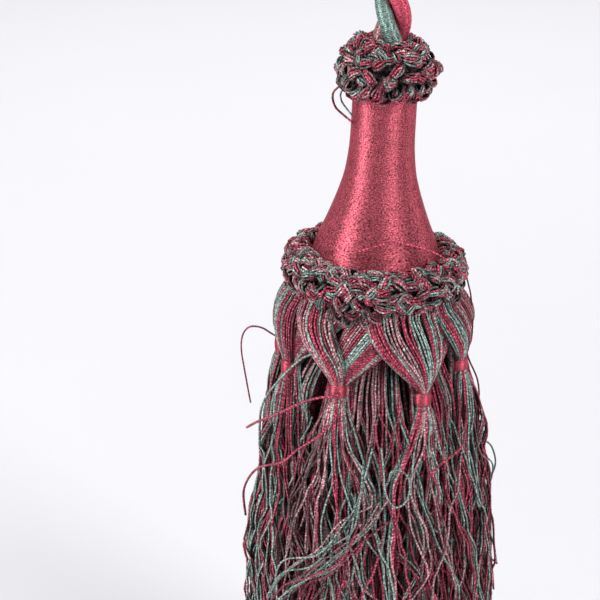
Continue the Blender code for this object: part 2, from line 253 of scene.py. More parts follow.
def strand_tree() -> Tree:
    """Tree that turns guide lines into round tubes of yarn.

    It resamples each line, sways it where it hangs slack, together with its clump and then by
    itself, and sweeps a ring along it. The attribute lay holds the cosine and sine round the tube
    and the distance along it, run holds the tube's direction, and open tells how squarely its
    surface faces away from what it lies on.

    Returns:
        The geometry node tree.
    """
    tree = bpy.data.node_groups.new("strand_tubes", "GeometryNodeTree")
    inputs = {
        "Geometry": ("Guides",),
        "Float": ("Step", "Sway", "Sway Length", "Crinkle", "Crinkle Length"),
        "Int": ("Sides", "Seed"),
        "Material": ("Material",),
    }
    for kind, names in inputs.items():
        for name in names:
            tree.interface.new_socket(name=name, in_out="INPUT", socket_type="NodeSocket" + kind)
    tree.interface.new_socket(name="Tubes", in_out="OUTPUT", socket_type="NodeSocketGeometry")
    given = add(tree, "NodeGroupInput").outputs
    # evenly spaced points on every guide, swayed with their clump and then alone
    lines = add(tree, "GeometryNodeMeshToCurve", [given["Guides"]])
    spaced = {"Curve": lines, "Length": given["Step"]}
    fine = add(tree, "GeometryNodeResampleCurve", spaced, mode="LENGTH")
    index = add(tree, "GeometryNodeCurveOfPoint").outputs["Curve Index"]
    shared = add(tree, MATHS, (add(tree, KEPT, ["clump"]), given["Seed"]), operation="ADD")
    own = add(tree, MATHS, (index, STRAND_GAP, given["Seed"]), operation="MULTIPLY_ADD")
    wide = sway(tree, shared, given["Sway Length"], given["Sway"])
    small = sway(tree, own, given["Crinkle Length"], given["Crinkle"])
    shift = add(tree, VECTOR, (wide, small), operation="ADD")
    swayed = add(tree, "GeometryNodeSetPosition", {"Geometry": fine, "Offset": shift})
    # what a strand's surface is to know of its centre line
    length = add(tree, "GeometryNodeSplineParameter").outputs["Length"]
    measured = add(tree, STORE, {"Geometry": swayed, "Name": "along", "Value": length})
    ahead = add(tree, "GeometryNodeInputTangent")
    led = {"Geometry": measured, "Name": "run", "Value": ahead}
    headed = add(tree, STORE, led, data_type="FLOAT_VECTOR")
    # a ring whose points know their way round, swept along each line and capped
    circle = {"Resolution": given["Sides"], "Radius": 1.0}
    ring = add(tree, "GeometryNodeCurvePrimitiveCircle", circle, mode="RADIUS")
    place = add(tree, "GeometryNodeInputPosition")
    turned = {"Geometry": ring, "Name": "around", "Value": place}
    around = add(tree, STORE, turned, data_type="FLOAT_VECTOR")
    thick = add(tree, KEPT, ["thick"])
    swept = {"Curve": headed, "Profile Curve": around, "Scale": thick, "Fill Caps": True}
    tubes = add(tree, "GeometryNodeCurveToMesh", swept)
    # what the materials read from the surface
    away = add(tree, KEPT, ["away"], data_type="FLOAT_VECTOR")
    facing = add(tree, "GeometryNodeInputNormal")
    squarely = add(tree, VECTOR, (away, facing), operation="DOT_PRODUCT").outputs["Value"]
    opened = add(tree, STORE, {"Geometry": tubes, "Name": "open", "Value": squarely})
    angle = add(tree, KEPT, ["around"], data_type="FLOAT_VECTOR")
    turn = add(tree, "ShaderNodeSeparateXYZ", [angle]).outputs
    lay = add(tree, "ShaderNodeCombineXYZ", (turn[0], turn[1], add(tree, KEPT, ["along"])))
    laid = {"Geometry": opened, "Name": "lay", "Value": lay}
    marked = add(tree, STORE, laid, data_type="FLOAT_VECTOR")
    smooth = add(tree, "GeometryNodeSetShadeSmooth", [marked])
    real = add(tree, "GeometryNodeRealizeInstances", [smooth])
    dressed = add(tree, "GeometryNodeSetMaterial", {"Geometry": real, "Material": given["Material"]})
    add(tree, "NodeGroupOutput", {"Tubes": dressed})
    return tree


@dataclass(frozen=True)
class Tube:
    """How guide lines become tubes. Lengths are millimetres."""

    step: float
    sides: int
    sway: float = 0.0
    sway_length: float = 30.0
    crinkle: float = 0.0
    crinkle_length: float = 12.0
    seed: int = 0

    def inputs(self) -> dict[str, float | int]:
        """What the strand tree's inputs get.

        Returns:
            Each value by its input's name, with lengths in metres.
        """
        return {
            "Step": self.step * MM,
            "Sides": self.sides,
            "Sway": self.sway * MM,
            "Sway Length": self.sway_length * MM,
            "Crinkle": self.crinkle * MM,
            "Crinkle Length": self.crinkle_length * MM,
            "Seed": self.seed,
        }


@dataclass
class Strands:
    """Guide lines of one piece, gathered before they become tubes."""

    lines: list[np.ndarray] = field(default_factory=list)
    facts: dict[str, list[np.ndarray]] = field(
        default_factory=lambda: {name: [] for name in ("thick", "tone", "shade", "slack", "clump")}
    )
    away: list[np.ndarray] = field(default_factory=list)
    rings: list[bool] = field(default_factory=list)

    def lay_in(
        self,
        line: np.ndarray,
        radius: float | np.ndarray,
        tone: float,
        shade: float | np.ndarray = 1.0,
        slack: float | np.ndarray = 0.0,
        clump: float = 0.0,
        ring: bool = False,
        away: np.ndarray | None = None,
    ) -> None:
        """Add one strand.

        Args:
            line: Its centre line in metres, one row a point.
            radius: Its radius in millimetres, one for all points or one each.
            tone: A Tone's value, or a number between.
            shade: How light it is against its dye: random lightness, and painted shade for yarn deep inside,
                at a loop's feet or in a dark filler.
            slack: How freely it sways, from 0 to 1.
            clump: Number of the clump that it sways with.
            ring: Whether its ends meet.
            away: Direction away from what it lies on; by default, outward from the tassel's axis.
        """
        self.lines.append(np.asarray(line, float))
        out = line * np.array([1.0, 1.0, 0.0]) if away is None else np.broadcast_to(away, line.shape)
        self.away.append(out / np.maximum(np.linalg.norm(out, axis=1), 1e-9)[:, None])
        values = (np.asarray(radius) * MM, tone, shade, slack, clump)
        for name, value in zip(self.facts, values):
            self.facts[name].append(np.broadcast_to(np.asarray(value, float), len(line)))
        self.rings.append(ring)

    def guides(self, name: str) -> bpy.types.Mesh:
        """Mesh of points and edges that holds every guide line and its facts.

        Args:
            name: The mesh's name.

        Returns:
            The mesh.
        """
        points = np.vstack(self.lines)
        edges, first = [], 0
        for line, ring in zip(self.lines, self.rings):
            ids = np.arange(first, first + len(line))
            edges.append(np.stack([ids[:-1], ids[1:]], axis=1))
            if ring:
                edges.append(np.array([[ids[-1], ids[0]]]))
            first += len(line)
        pairs = np.vstack(edges)
        mesh = bpy.data.meshes.new(name)
        mesh.vertices.add(len(points))
        mesh.edges.add(len(pairs))
        mesh.vertices.foreach_set("co", points.astype(np.float32).ravel())
        mesh.edges.foreach_set("vertices", pairs.astype(np.int32).ravel())
        for key, values in self.facts.items():
            layer = mesh.attributes.new(key, "FLOAT", "POINT")
            layer.data.foreach_set("value", np.concatenate(values).astype(np.float32))
        layer = mesh.attributes.new("away", "FLOAT_VECTOR", "POINT")
        layer.data.foreach_set("vector", np.vstack(self.away).astype(np.float32).ravel())
        mesh.update()
        return mesh

    def build(
        self, name: str, tree: Tree, tube: Tube, material: bpy.types.Material
    ) -> bpy.types.Object:
        """Turn the strands into one plain mesh piece.

        Args:
            name: The piece's name.
            tree: The strand tree.
            tube: Its settings.
            material: The strands' finish.

        Returns:
            The piece, with no modifier left on it.
        """
        guide = bpy.data.objects.new(name + "_guide", self.guides(name + "_guide"))
        bpy.context.scene.collection.objects.link(guide)
        swept = guide.modifiers.new("tubes", "NODES")
        swept.node_group = tree
        values = {**tube.inputs(), "Material": material}
        for item in tree.interface.items_tree:
            if item.name in values:
                swept[item.identifier] = values[item.name]
        graph = bpy.context.evaluated_depsgraph_get()
        mesh = bpy.data.meshes.new_from_object(guide.evaluated_get(graph), depsgraph=graph)
        mesh.name = name
        bpy.data.objects.remove(guide)
        for spare in ("around", "along", "thick", "slack", "clump", "away"):
            mesh.attributes.remove(mesh.attributes[spare])
        made = bpy.data.objects.new(name, mesh)
        bpy.context.scene.collection.objects.link(made)
        LOG.info("%s: %d strands, %d faces", name, len(self.lines), len(mesh.polygons))
        return made


# ---------------------------------------------------------------------------- finishes


def new_material(name: str) -> tuple[bpy.types.Material, Tree, Node]:
    """Empty node material.

    Args:
        name: The material's name.

    Returns:
        The material, its tree and its Principled shader.
    """
    made = bpy.data.materials.new(name)
    made.use_nodes = True
    return made, made.node_tree, made.node_tree.nodes["Principled BSDF"]


@dataclass(frozen=True)
class PliedYarn:
    """Two-ply viscose yarn, softly glossy: two dyed plies twisted together.

    To the eye it gives small slanting flecks of both dyes and painted glints along the fibre, with
    painted shade in the crease between the plies and on the sides where yarns lie side by side.
    """

    name: str = "plied_viscose_yarn"
    crimson: str = "#C44D66"
    crimson_deep: str = "#7E2038"
    teal: str = "#93A8A0"
    teal_deep: str = "#536862"
    twist_mm: float = 1.4  # one full turn of the two plies
    drift_mm: float = 5.0  # over which the twist runs ahead or lags
    drift_turn: float = 14.0  # radians by which it can
    # the light spots are painted glints along the fibre, over random tone
    fibre_mm: float = 0.85  # from one light spot to the next; real fibre is finer, and wouldn't show
    roughness: float = 0.4

    def material(self) -> bpy.types.Material:
        """Finish of every loop, hank and cut yarn.

        Returns:
            The material.
        """
        made, tree, shader = new_material(self.name)
        lay = add(tree, ATTRIBUTE, attribute_name="lay").outputs["Vector"]
        tone, shade, open_side = (
            add(tree, ATTRIBUTE, attribute_name=name).outputs["Fac"] for name in ("tone", "shade", "open")
        )
        part = add(tree, "ShaderNodeSeparateXYZ", [lay]).outputs
        place = add(tree, "ShaderNodeTexCoord").outputs["Object"]
        # from -1 in the middle of one ply to 1 in the middle of the other, round and along the yarn
        drift = add(tree, NOISE, {"Vector": place, "Scale": 1.0 / (self.drift_mm * MM), "Detail": 0.0})
        shift = add(tree, MATHS, (drift, self.drift_turn), operation="MULTIPLY")
        twist = 2 * math.pi / (self.twist_mm * MM)
        turn = add(tree, MATHS, (part[2], twist, shift), operation="MULTIPLY_ADD")
        cosine = add(tree, MATHS, [turn], operation="COSINE")
        sine = add(tree, MATHS, [turn], operation="SINE")
        one = add(tree, MATHS, (part[0], cosine), operation="MULTIPLY")
        ply = add(tree, MATHS, (part[1], sine, one), operation="MULTIPLY_ADD")
        side = add(tree, RANGE, (ply, -0.18, 0.18, 0.1, 0.9), interpolation_type="SMOOTHSTEP")
        # one ply's dye and the other's
        second = add(tree, MATHS, (tone, 0.25), operation="GREATER_THAN")
        first = add(tree, MATHS, (tone, 0.75), operation="GREATER_THAN")
        crimson, teal = linear(self.crimson), linear(self.teal)
        light = add(tree, MIX, {0: first, 6: crimson, 7: teal}, data_type="RGBA").outputs[2]
        deep = add(tree, MIX, {0: second, 6: linear(self.crimson_deep), 7: teal}, data_type="RGBA").outputs[2]
        half = add(tree, MATHS, (first, 0.5), operation="MULTIPLY")
        deeper = add(tree, MIX, {0: half, 6: deep, 7: linear(self.teal_deep)}, data_type="RGBA").outputs[2]
        dyed = add(tree, MIX, {0: side, 6: light, 7: deeper}, data_type="RGBA").outputs[2]
        # painted shade in the crease, random tone and painted glints along the fibre, painted shade where the
        # yarn turns in to its neighbour
        ridge = add(tree, MATHS, [ply], operation="ABSOLUTE")
        painted_crease_shade = add(tree, RANGE, (ridge, 0.0, 0.6, 0.08, 1.05))
        fibre = add(tree, NOISE, {"Vector": place, "Scale": 1.0 / (self.fibre_mm * MM), "Detail": 1.0})
        # random fibre tone with painted glints
        glint_and_tone = add(tree, RANGE, (fibre, 0.32, 0.68, 0.2, 1.62))
        # painted shade on the sides of a yarn that turn in to its neighbour, from how its surface faces
        painted_gap_shade = add(tree, RANGE, (open_side, -0.3, 0.85, 0.13, 1.38))
        level = add(tree, MATHS, (painted_crease_shade, glint_and_tone), operation="MULTIPLY")
        for dimming in (painted_gap_shade, shade):
            level = add(tree, MATHS, (level, dimming), operation="MULTIPLY")
        colour = add(tree, VECTOR, {0: dyed, "Scale": level}, operation="SCALE")
        bump = add(tree, "ShaderNodeBump", {"Height": ridge, "Distance": 0.25 * MM, "Strength": 0.7})
        finish = {"Roughness": self.roughness, "Specular IOR Level": 0.45}
        wire(tree, shader, {"Base Color": colour, "Normal": bump, **finish})
        return made


@dataclass(frozen=True)
class WoundThread:
    """Glossy thread wound in close turns.

    To the eye it gives fine ridges with painted shade in the grooves between them, sparkle along the turns
    from bumps and painted glints, and a sheen drawn out across them.
    """

    name: str
    crimson: str
    teal: str
    pitch_mm: float  # of the turns
    dash_mm: float  # length along a turn over which its brightness holds
    radius_mm: float  # usual radius of what it is wound on
    roughness: float = 0.34
    # spread of the turns' brightness: random thread tone and painted glints
    uneven: float = 0.75
    metallic: float = 0.7  # stands for the strong coloured sheen of satin thread

    def material(self) -> bpy.types.Material:
        """Finish of the head, the bindings or the rope's plies.

        Returns:
            The material.
        """
        made, tree, shader = new_material(self.name)
        lay, run = (
            add(tree, ATTRIBUTE, attribute_name=name).outputs["Vector"] for name in ("lay", "run")
        )
        tone = add(tree, ATTRIBUTE, attribute_name="tone").outputs["Fac"]
        along = add(tree, "ShaderNodeSeparateXYZ", [lay]).outputs[2]
        # fine turns, short dashes along them and broad level bands
        turns = 1.0 / (self.pitch_mm * MM)
        wound = add(tree, MATHS, (along, 2 * math.pi * turns), operation="MULTIPLY")
        wave = add(tree, MATHS, [wound], operation="COSINE")
        dashes = self.radius_mm / self.dash_mm
        spread = add(tree, VECTOR, (lay, (dashes, dashes, turns * 1.1)), operation="MULTIPLY")
        grain = add(tree, NOISE, {"Vector": spread, "Scale": 1.0, "Roughness": 0.6})
        broad = add(tree, VECTOR, (lay, (1.0, 1.0, turns * 0.12)), operation="MULTIPLY")
        bands = add(tree, NOISE, {"Vector": broad, "Scale": 1.0})
        # the second dye's share, in patches where the tone is marled
        mottled = add(tree, RANGE, (grain, 0.35, 0.65, 0.1, 0.9))
        odd = add(tree, MATHS, (tone, 0.5, 0.2), operation="COMPARE")
        plain = add(tree, MATHS, (tone, 0.75), operation="GREATER_THAN")
        pick = add(tree, MIX, {0: odd, 2: plain, 3: mottled}, data_type="FLOAT")
        dyes = {0: pick, 6: linear(self.crimson), 7: linear(self.teal)}
        dyed = add(tree, MIX, dyes, data_type="RGBA").outputs[2]
        # painted shade in the grooves between turns, and painted glints with random tone along them
        painted_groove_shade = add(tree, RANGE, (wave, -1.0, 0.2, 0.74, 1.0))
        glint_and_tone = add(tree, RANGE, (grain, 0.3, 0.7, 1.0 - self.uneven, 1.0 + self.uneven))
        cloud = add(tree, RANGE, (bands, 0.3, 0.7, 0.92, 1.08))
        flecked = add(tree, MATHS, (painted_groove_shade, glint_and_tone), operation="MULTIPLY")
        level = add(tree, MATHS, (flecked, cloud), operation="MULTIPLY")
        colour = add(tree, VECTOR, {0: dyed, "Scale": level}, operation="SCALE")
        height = add(tree, MATHS, (grain, 3.0, wave), operation="MULTIPLY_ADD")
        bump = add(tree, "ShaderNodeBump", {"Height": height, "Distance": 0.06 * MM, "Strength": 0.7})
        finish = {
            "Metallic": self.metallic,
            "Roughness": self.roughness,
            "Anisotropic": 0.85,
            "Specular IOR Level": 0.2,
            "Specular Tint": linear("#E8A0AA"),
        }
        wire(tree, shader, {"Base Color": colour, "Normal": bump, "Tangent": run, **finish})
        return made


@dataclass(frozen=True)
class PaleFloor:
    """Matt painted board, which gives the eye an even pale ground, very faintly mottled."""

    colour: str = "#F1F0F4"
    mottles: float = 6.0  # of its brightness, in a metre

    def material(self) -> bpy.types.Material:
        """Finish of the studio floor.

        Returns:
            The material.
        """
        made, tree, shader = new_material("matt_white_board")
        place = add(tree, "ShaderNodeTexCoord").outputs["Object"]
        mottle = add(tree, NOISE, {"Vector": place, "Scale": self.mottles, "Detail": 3.0})
        level = add(tree, RANGE, (mottle, 0.0, 1.0, 0.98, 1.0))
        base = add(tree, VECTOR, {0: linear(self.colour)[:3], "Scale": level}, operation="SCALE")
        wire(tree, shader, {"Base Color": base, "Roughness": 0.9})
        return made


# ---------------------------------------------------------------------------- sub-assemblies


@dataclass(frozen=True)
class Workshop:
    """What every sub-assembly needs to make its pieces."""

    tree: Tree
    yarn: bpy.types.Material
    satin: bpy.types.Material
    whipping: bpy.types.Material
    plies: bpy.types.Material


@dataclass
class SubAssembly:
    """Something made and fitted on its own, from what the workshop has."""

    shop: Workshop

    def fit(
        self,
        strands: Strands,
        name: str,
        tube: Tube,
        finish: bpy.types.Material,
        slot: str,
        *nodes: str,
    ) -> bpy.types.Object:
        """Make a piece of strands, which rides on the part.

        Args:
            strands: Its strands.
            name: Its name.
            tube: How they become tubes.
            finish: Its material.
            slot: The record's material slot; not used.
            nodes: The CAD nodes that it stands for.

        Returns:
            The piece.
        """
        piece = strands.build(name, self.shop.tree, tube, finish)
        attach(piece, BODY)
        if nodes:
            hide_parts(*nodes)
        return piece


@dataclass
class Rope(SubAssembly):
    """Three thread-wound plies in an S lay, up to an eye whose end is seized to the rope."""

    pitch: float = 48.0
    ply_radius: float = 2.95
    orbit: float = 3.7
    front_along: float = 13.1  # along the rope to where the green ply is foremost
    eye_half: float = 6.9
    turns_of_seizing: int = 12
    seizing_middle: float = -75.5
    seizing_height: float = 12.0
    seizing_proud: float = 0.45  # of its turns' middles from the rope
    turn_share: float = 0.54  # a turn's radius over the pitch, so that the turns just meet
    plies: tuple[tuple[Tone, float], ...] = (  # (tone, degrees round the rope)
        (Tone.TEAL, 0.0),
        (Tone.CRIMSON, 120.0),
        (Tone.MARLED, 240.0),
    )

    def knots(self) -> np.ndarray:
        """The route's own points, in millimetres from the hook.

        Returns:
            One row a point.
        """
        half = self.eye_half
        route = (
            (3.14, -113.2),
            (4.5, -102.5),
            (5.15, -92.5),
            (5.3, -83.0),
            (half, -74.0),
            (7.9, -66.0),
            (14.0, -52.0),
            (22.5, -36.0),
            (25.2, -19.0),
            (18.2, -1.5),
            (0.0, 6.7),
            (-18.2, -1.5),
            (-25.2, -19.0),
            (-22.5, -36.0),
            (-14.0, -52.0),
            (-7.9, -66.0),
            (-half, -74.0),
            (-half, -80.0),
        )
        return np.array([(x, 0.0, z) for x, z in route])

    def ply(self, middle: np.ndarray, phase: float) -> np.ndarray:
        """Centre line of one ply, in metres.

        Args:
            middle: The rope's centre line in millimetres.
            phase: Degrees round the rope from the green ply.

        Returns:
            Its points, one row each.
        """
        run = np.gradient(middle, axis=0)
        run /= np.linalg.norm(run, axis=1)[:, None]
        across = np.array([0.0, 1.0, 0.0])
        side = np.cross(across, run)
        along = np.linspace(0.0, np.linalg.norm(np.diff(middle, axis=0), axis=1).sum(), len(middle))
        turn = math.radians(phase - 90.0) - 2 * math.pi * (along - self.front_along) / self.pitch
        return (middle + self.orbit * (np.cos(turn)[:, None] * side + np.sin(turn)[:, None] * across)) * MM

    def build(self) -> None:
        middle = smooth_path(self.knots(), 340)
        strands = Strands()
        for tone, phase in self.plies:
            strands.lay_in(self.ply(middle, phase), self.ply_radius, tone.value)
        nodes = ("rope_ply_green", "rope_ply_crimson", "rope_ply_mixed")
        rope = self.fit(strands, "rope", Tube(1.0, 22), self.shop.plies, "rope_mixed", *nodes)
        seizing = self.seizing()
        path = [tuple(p) for p in smooth_path(self.knots(), 60) * MM]

    def seizing(self) -> bpy.types.Object:
        """Close turns of satin cord round both ropes at the eye's throat.

        Returns:
            The piece.
        """
        strands = Strands()
        turns = np.linspace(0.0, 2 * math.pi, 48, endpoint=False)
        reach = self.orbit + self.ply_radius + self.seizing_proud
        pitch = self.seizing_height / self.turns_of_seizing
        for i in range(self.turns_of_seizing):
            level = self.seizing_middle + pitch * (i + 0.5 - self.turns_of_seizing / 2)
            x = np.where(np.cos(turns) >= 0, self.eye_half, -self.eye_half) + reach * np.cos(turns)
            line = np.stack([x, reach * np.sin(turns), np.full_like(turns, level)], axis=1) * MM
            strands.lay_in(line, pitch * self.turn_share, Tone.CRIMSON.value, ring=True)
        name, finish = "eye_seizing_turns", self.shop.whipping
        return self.fit(strands, name, Tube(1.2, 8), finish, "satin_thread", "eye_seizing")


@dataclass
class Head(SubAssembly):
    """Turned mould wound from end to end in crimson satin thread."""

    profile: tuple[tuple[float, float], ...] = (  # (height, radius)
        (72.6, 10.2),
        (71.6, 11.1),
        (69.0, 11.5),
        (56.0, 11.6),
        (46.5, 11.8),
        (37.0, 12.9),
        (31.0, 14.4),
        (24.8, 16.4),
        (17.8, 19.0),
        (11.3, 21.7),
        (5.0, 23.5),
        (-2.0, 24.2),
        (-8.0, 23.9),
    )

    def build(self) -> None:
        """Make the wound head."""
        height, radius = smooth_path(np.array(self.profile), 150).T
        line = leaning(np.outer(height, (0.0, 0.0, 1.0)), 0.0)
        strands = Strands()
        strands.lay_in(line, radius, Tone.CRIMSON.value)
        self.fit(strands, "head_winding", Tube(0.6, 112), self.shop.satin, "satin_thread", "head")


@dataclass(frozen=True)
class Tier:
    """One tier of a ruff's loops. Lengths are millimetres, angles degrees."""

    tilt: float  # up from outward, round the ruff's section
    count: int
    span: float  # half the distance between a loop's feet
    rise: float
    slant: float  # of its span from level
    loose: float  # how far its loops stray from all that
    yarns: int = 3
    arc: tuple[float, float] = (0.0, 360.0)  # azimuths from which to which it goes


@dataclass
class LoopRuff(SubAssembly):
    """Ring of looped yarn: tiers of small arches, each of a few yarns side by side."""

    name: str
    node: str
    level: float  # of its centre along the leaning axis
    radius: float  # of the ring's core
    core: float  # radius of the core's section
    flat: float  # the section's height over its width
    taper: float  # how much narrower its top is than its middle
    yarn_radius: float
    seed: int
    tiers: tuple[Tier, ...]

    def arch(
        self, rng: np.random.Generator, azimuth: float, tier: Tier
    ) -> Iterable[tuple[np.ndarray, np.ndarray, float]]:
        """Centre lines of one arch's yarns.

        Args:
            rng: The ruff's own source of chance.
            azimuth: Degrees round the ring.
            tier: The tier that it belongs to.

        Yields:
            Each yarn's points in metres, the direction away from the core, and the painted shade of the
            yarn among those beside it, darker for the bundle's outer yarns.
        """
        size = 1.0 + tier.loose * rng.uniform(-0.22, 0.3)
        size *= 1.3 if rng.random() < 0.04 else 1.0
        lift = math.radians(tier.tilt + tier.loose * rng.uniform(-15.0, 15.0))
        roll = math.radians(tier.slant + tier.loose * rng.uniform(-35.0, 35.0))
        turn = math.radians(azimuth)
        outward = np.array([math.sin(turn), -math.cos(turn), 0.0])
        level = np.array([math.cos(turn), math.sin(turn), 0.0])
        up = np.array([0.0, 0.0, 1.0])
        away = math.cos(lift) * outward + math.sin(lift) * up
        down = math.sin(lift) * outward - math.cos(lift) * up
        reach = self.radius + self.core * math.cos(lift) - self.taper * math.sin(lift)
        foot = outward * reach + up * self.core * self.flat * math.sin(lift)
        along = math.cos(roll) * level + math.sin(roll) * down
        beside = -math.sin(roll) * level + math.cos(roll) * down
        t = np.linspace(-0.08, 1.08, 13)
        bow = np.sin(np.pi * t)
        lean = rng.uniform(-0.9, 0.9)
        for k in range(tier.yarns):
            off = k - (tier.yarns - 1) / 2
            aside = off * self.yarn_radius * 2.2
            tall = tier.rise * size * rng.uniform(0.96, 1.04) - 0.6 * self.yarn_radius * off * off
            half = tier.span * size * rng.uniform(0.96, 1.04)
            line = (
                foot
                + np.outer(np.cos(np.pi * t) * half, along)
                + np.outer(np.sign(bow) * np.abs(bow) ** 0.75 * tall, away)
                + np.outer(aside * (0.5 + 0.55 * bow) + bow * lean, beside)
            )
            # the last value is painted shade, darker towards the bundle's outer yarns
            yield leaning(line, self.level), away, 1.0 - 0.5 * (2 * off / (tier.yarns - 1)) ** 2

    def build(self) -> None:
        """Make the loops and the core that they are sewn round."""
        rng = np.random.default_rng(self.seed)
        loops = Strands()
        for index, tier in enumerate(self.tiers):
            for i in range(tier.count):
                share = (i + 0.5 * (index % 2) + rng.uniform(-0.3, 0.3) * tier.loose) / tier.count
                azimuth = tier.arc[0] + (tier.arc[1] - tier.arc[0]) * share
                lit = rng.uniform(0.82, 1.42)
                for line, away, painted_bundle_shade in self.arch(rng, azimuth, tier):
                    tone = rng.choice([t.value for t in Tone], p=[0.4, 0.36, 0.24])
                    rise = np.sin(np.linspace(0.0, math.pi, len(line)))
                    # painted shade at each loop's feet, painted highlight at its top, and painted shade on
                    # the bundle's outer yarns
                    shade = lit * painted_bundle_shade * rng.uniform(0.9, 1.2) * (0.15 + 1.05 * rise**0.9)
                    loops.lay_in(line, self.yarn_radius, float(tone), shade, 1.0, away=away)
        tube = Tube(0.9, 5, crinkle=1.7, crinkle_length=2.6, seed=self.seed)
        self.fit(loops, self.name, tube, self.shop.yarn, "ruff_yarn", self.node)
        turns = np.linspace(0.0, 2 * math.pi, 64, endpoint=False)
        ring = np.stack([np.sin(turns), -np.cos(turns), np.zeros(64)], axis=1) * self.radius
        core = Strands()
        for share in (-1.0, -0.4, 0.4, 1.0):
            rise = np.array([0.0, 0.0, share * self.core * (self.flat - 0.75)])
            # the core's yarn is painted dark, as painted shade between the loops
            core.lay_in(leaning(ring + rise, self.level), self.core * 0.9, Tone.MARLED.value, 0.16, ring=True)
        self.fit(core, self.name + "_core", Tube(2.0, 12), self.shop.yarn, "ruff_yarn")


@dataclass(frozen=True)
class Fall:
    """How one clump of yarns hangs to its cut ends. Lengths are millimetres."""

    azimuth: float  # of the ends
    rim: float  # radius of the ends
    foot: float  # height of the ends
    wave: float
    turns: float  # radians of the wave from top to end
    phase: float
    number: float
    lit: float  # how light the clump's yarns are


@dataclass
class Skirt(SubAssembly):
    """Hanks, the crossing hanks behind them, their bindings and all the cut yarn below."""

    fans: tuple[tuple[float, float], ...] = (  # azimuths of each fan's top edges
        (-142.0, -91.7),
        (-91.7, -60.0),
        (-61.0, -30.0),
        (-9.0, 43.0),
        (41.0, 75.0),
        (75.0, 119.2),
        (119.2, 166.2),
        (166.2, 218.0),
    )
    end: float = -170.0
    end_uneven: float = 6.0
    yarn_radius: float = 0.5
    seed: int = 5
    fan_density: float = 0.6  # yarns a degree of a fan
    fan_least: int = 22
    fan_tones: tuple[float, float, float] = (0.4, 0.28, 0.32)  # shares of the three Tones
    fan_flat: float = 2.6  # width over depth of the oval on which a hank's yarns lie evenly
    fan_rims: tuple[float, float] = (38.0, 48.5)  # least and greatest radius of their ends
    fill_yarns: int = 28
    fill_rims: tuple[float, float] = (34.0, 48.0)
    under_yarns: int = 26
    under_rims: tuple[float, float] = (32.0, 45.0)
    fringe_yarns: int = 37
    fringe_rims: tuple[float, float] = (36.0, 47.0)
    core_yarns: int = 400
    wanderers: int = 60
    sections: tuple[tuple[float, float, float, float, float, float], ...] = (
        # (height, radius, share of the fan's width, share of its lean, half width, half depth)
        (-6.0, 29.6, 1.00, 1.00, 0.0, 1.6),
        (-9.0, 30.6, 1.00, 1.00, 0.0, 2.2),
        (-13.5, 32.7, 0.92, 0.90, 0.3, 3.3),
        (-20.0, 34.1, 0.70, 0.60, 1.3, 3.8),
        (-26.0, 34.5, 0.43, 0.26, 2.0, 3.5),
        (-31.0, 34.3, 0.17, 0.08, 2.3, 2.7),
        (-34.8, 34.1, 0.00, 0.00, 2.1, 1.9),
        (-40.4, 34.2, 0.00, 0.00, 2.1, 1.9),
        (-44.5, 35.2, 0.00, 0.00, 3.8, 2.9),
    )
    under: tuple[tuple[float, float, float, float, float], ...] = (
        # (height, radius, share of the way to the next neck, half width, half depth)
        (-5.0, 28.4, 0.66, 12.5, 1.7),
        (-10.0, 29.8, 0.56, 12.0, 2.2),
        (-14.0, 30.5, 0.46, 12.0, 2.4),
        (-19.5, 30.8, 0.32, 10.2, 2.6),
        (-26.0, 31.4, 0.17, 8.0, 2.6),
        (-31.0, 31.6, 0.07, 5.8, 2.3),
        (-36.0, 31.8, 0.00, 3.6, 1.8),
    )
    table_neck: float = -37.5  # height of the neck in both tables above
    fan_top: float = -9.0  # height down to which a fan keeps to them
    neck_radius: float = 34.1  # from the tassel's axis
    freed: float = 26.0  # drop over which a yarn comes to sway fully
    binding: tuple[tuple[float, float], ...] = (
        # (height from the binding's middle, radius)
        (-2.4, 2.5),
        (-2.2, 3.05),
        (-1.4, 3.25),
        (0.0, 3.3),
        (1.4, 3.25),
        (2.2, 3.05),
        (2.4, 2.5),
    )
    falls: tuple[tuple[float, float, float], ...] = (
        # (share of the fall, share of the swing, share of the reach)
        (0.10, 0.42, 0.26),
        (0.22, 0.74, 0.46),
        (0.36, 0.93, 0.62),
        (0.50, 1.00, 0.74),
        (0.63, 1.00, 0.83),
        (0.76, 1.00, 0.90),
        (0.88, 1.00, 0.95),
        (1.00, 1.00, 1.00),
    )

    def __post_init__(self) -> None:
        """Read where the necks are from the CAD bindings."""
        self.rng: np.random.Generator = np.random.default_rng(self.seed)
        self.necks: list[tuple[float, float]] = []
        for i in range(HANK_COUNT):
            x, y, z = centre_mm(f"hank_binding_{i + 1}")
            azimuth = math.degrees(math.atan2(x, -y))
            if self.necks and azimuth < self.necks[-1][0]:
                azimuth += 360.0
            self.necks.append((azimuth, z - RUFF_LEVEL))

    def neighbours(self, index: int) -> tuple[float, float, float]:
        """Azimuths of three necks that follow each other.

        Args:
            index: Which hank.

        Returns:
            That of the neck before, of this neck and of the neck after.
        """
        around = [neck[0] for neck in self.necks]
        before = around[index - 1] - (360.0 if index == 0 else 0.0)
        after = around[(index + 1) % HANK_COUNT] + (360.0 if index == HANK_COUNT - 1 else 0.0)
        return before, around[index], after

    def level(self, index: int, height: float) -> float:
        """Height of a section of one hank, whose neck is higher or lower than the table's."""
        reach = (self.necks[index][1] - self.fan_top) / (self.table_neck - self.fan_top)
        return self.fan_top + (height - self.fan_top) * (reach if height < self.fan_top else 1.0)

    def tones(
        self, count: int, longest: int = 4, shares: Sequence[float] = (0.44, 0.33, 0.23)
    ) -> list[float]:
        """Tones of yarns that lie side by side, in short runs of one kind.

        Args:
            count: How many yarns.
            longest: The longest run.
            shares: How much of it each Tone gets.

        Returns:
            One tone a yarn.
        """
        made: list[float] = []
        while len(made) < count:
            tone = self.rng.choice([t.value for t in Tone], p=shares)
            made += [float(tone)] * int(self.rng.integers(1, longest + 1))
        return made[:count]

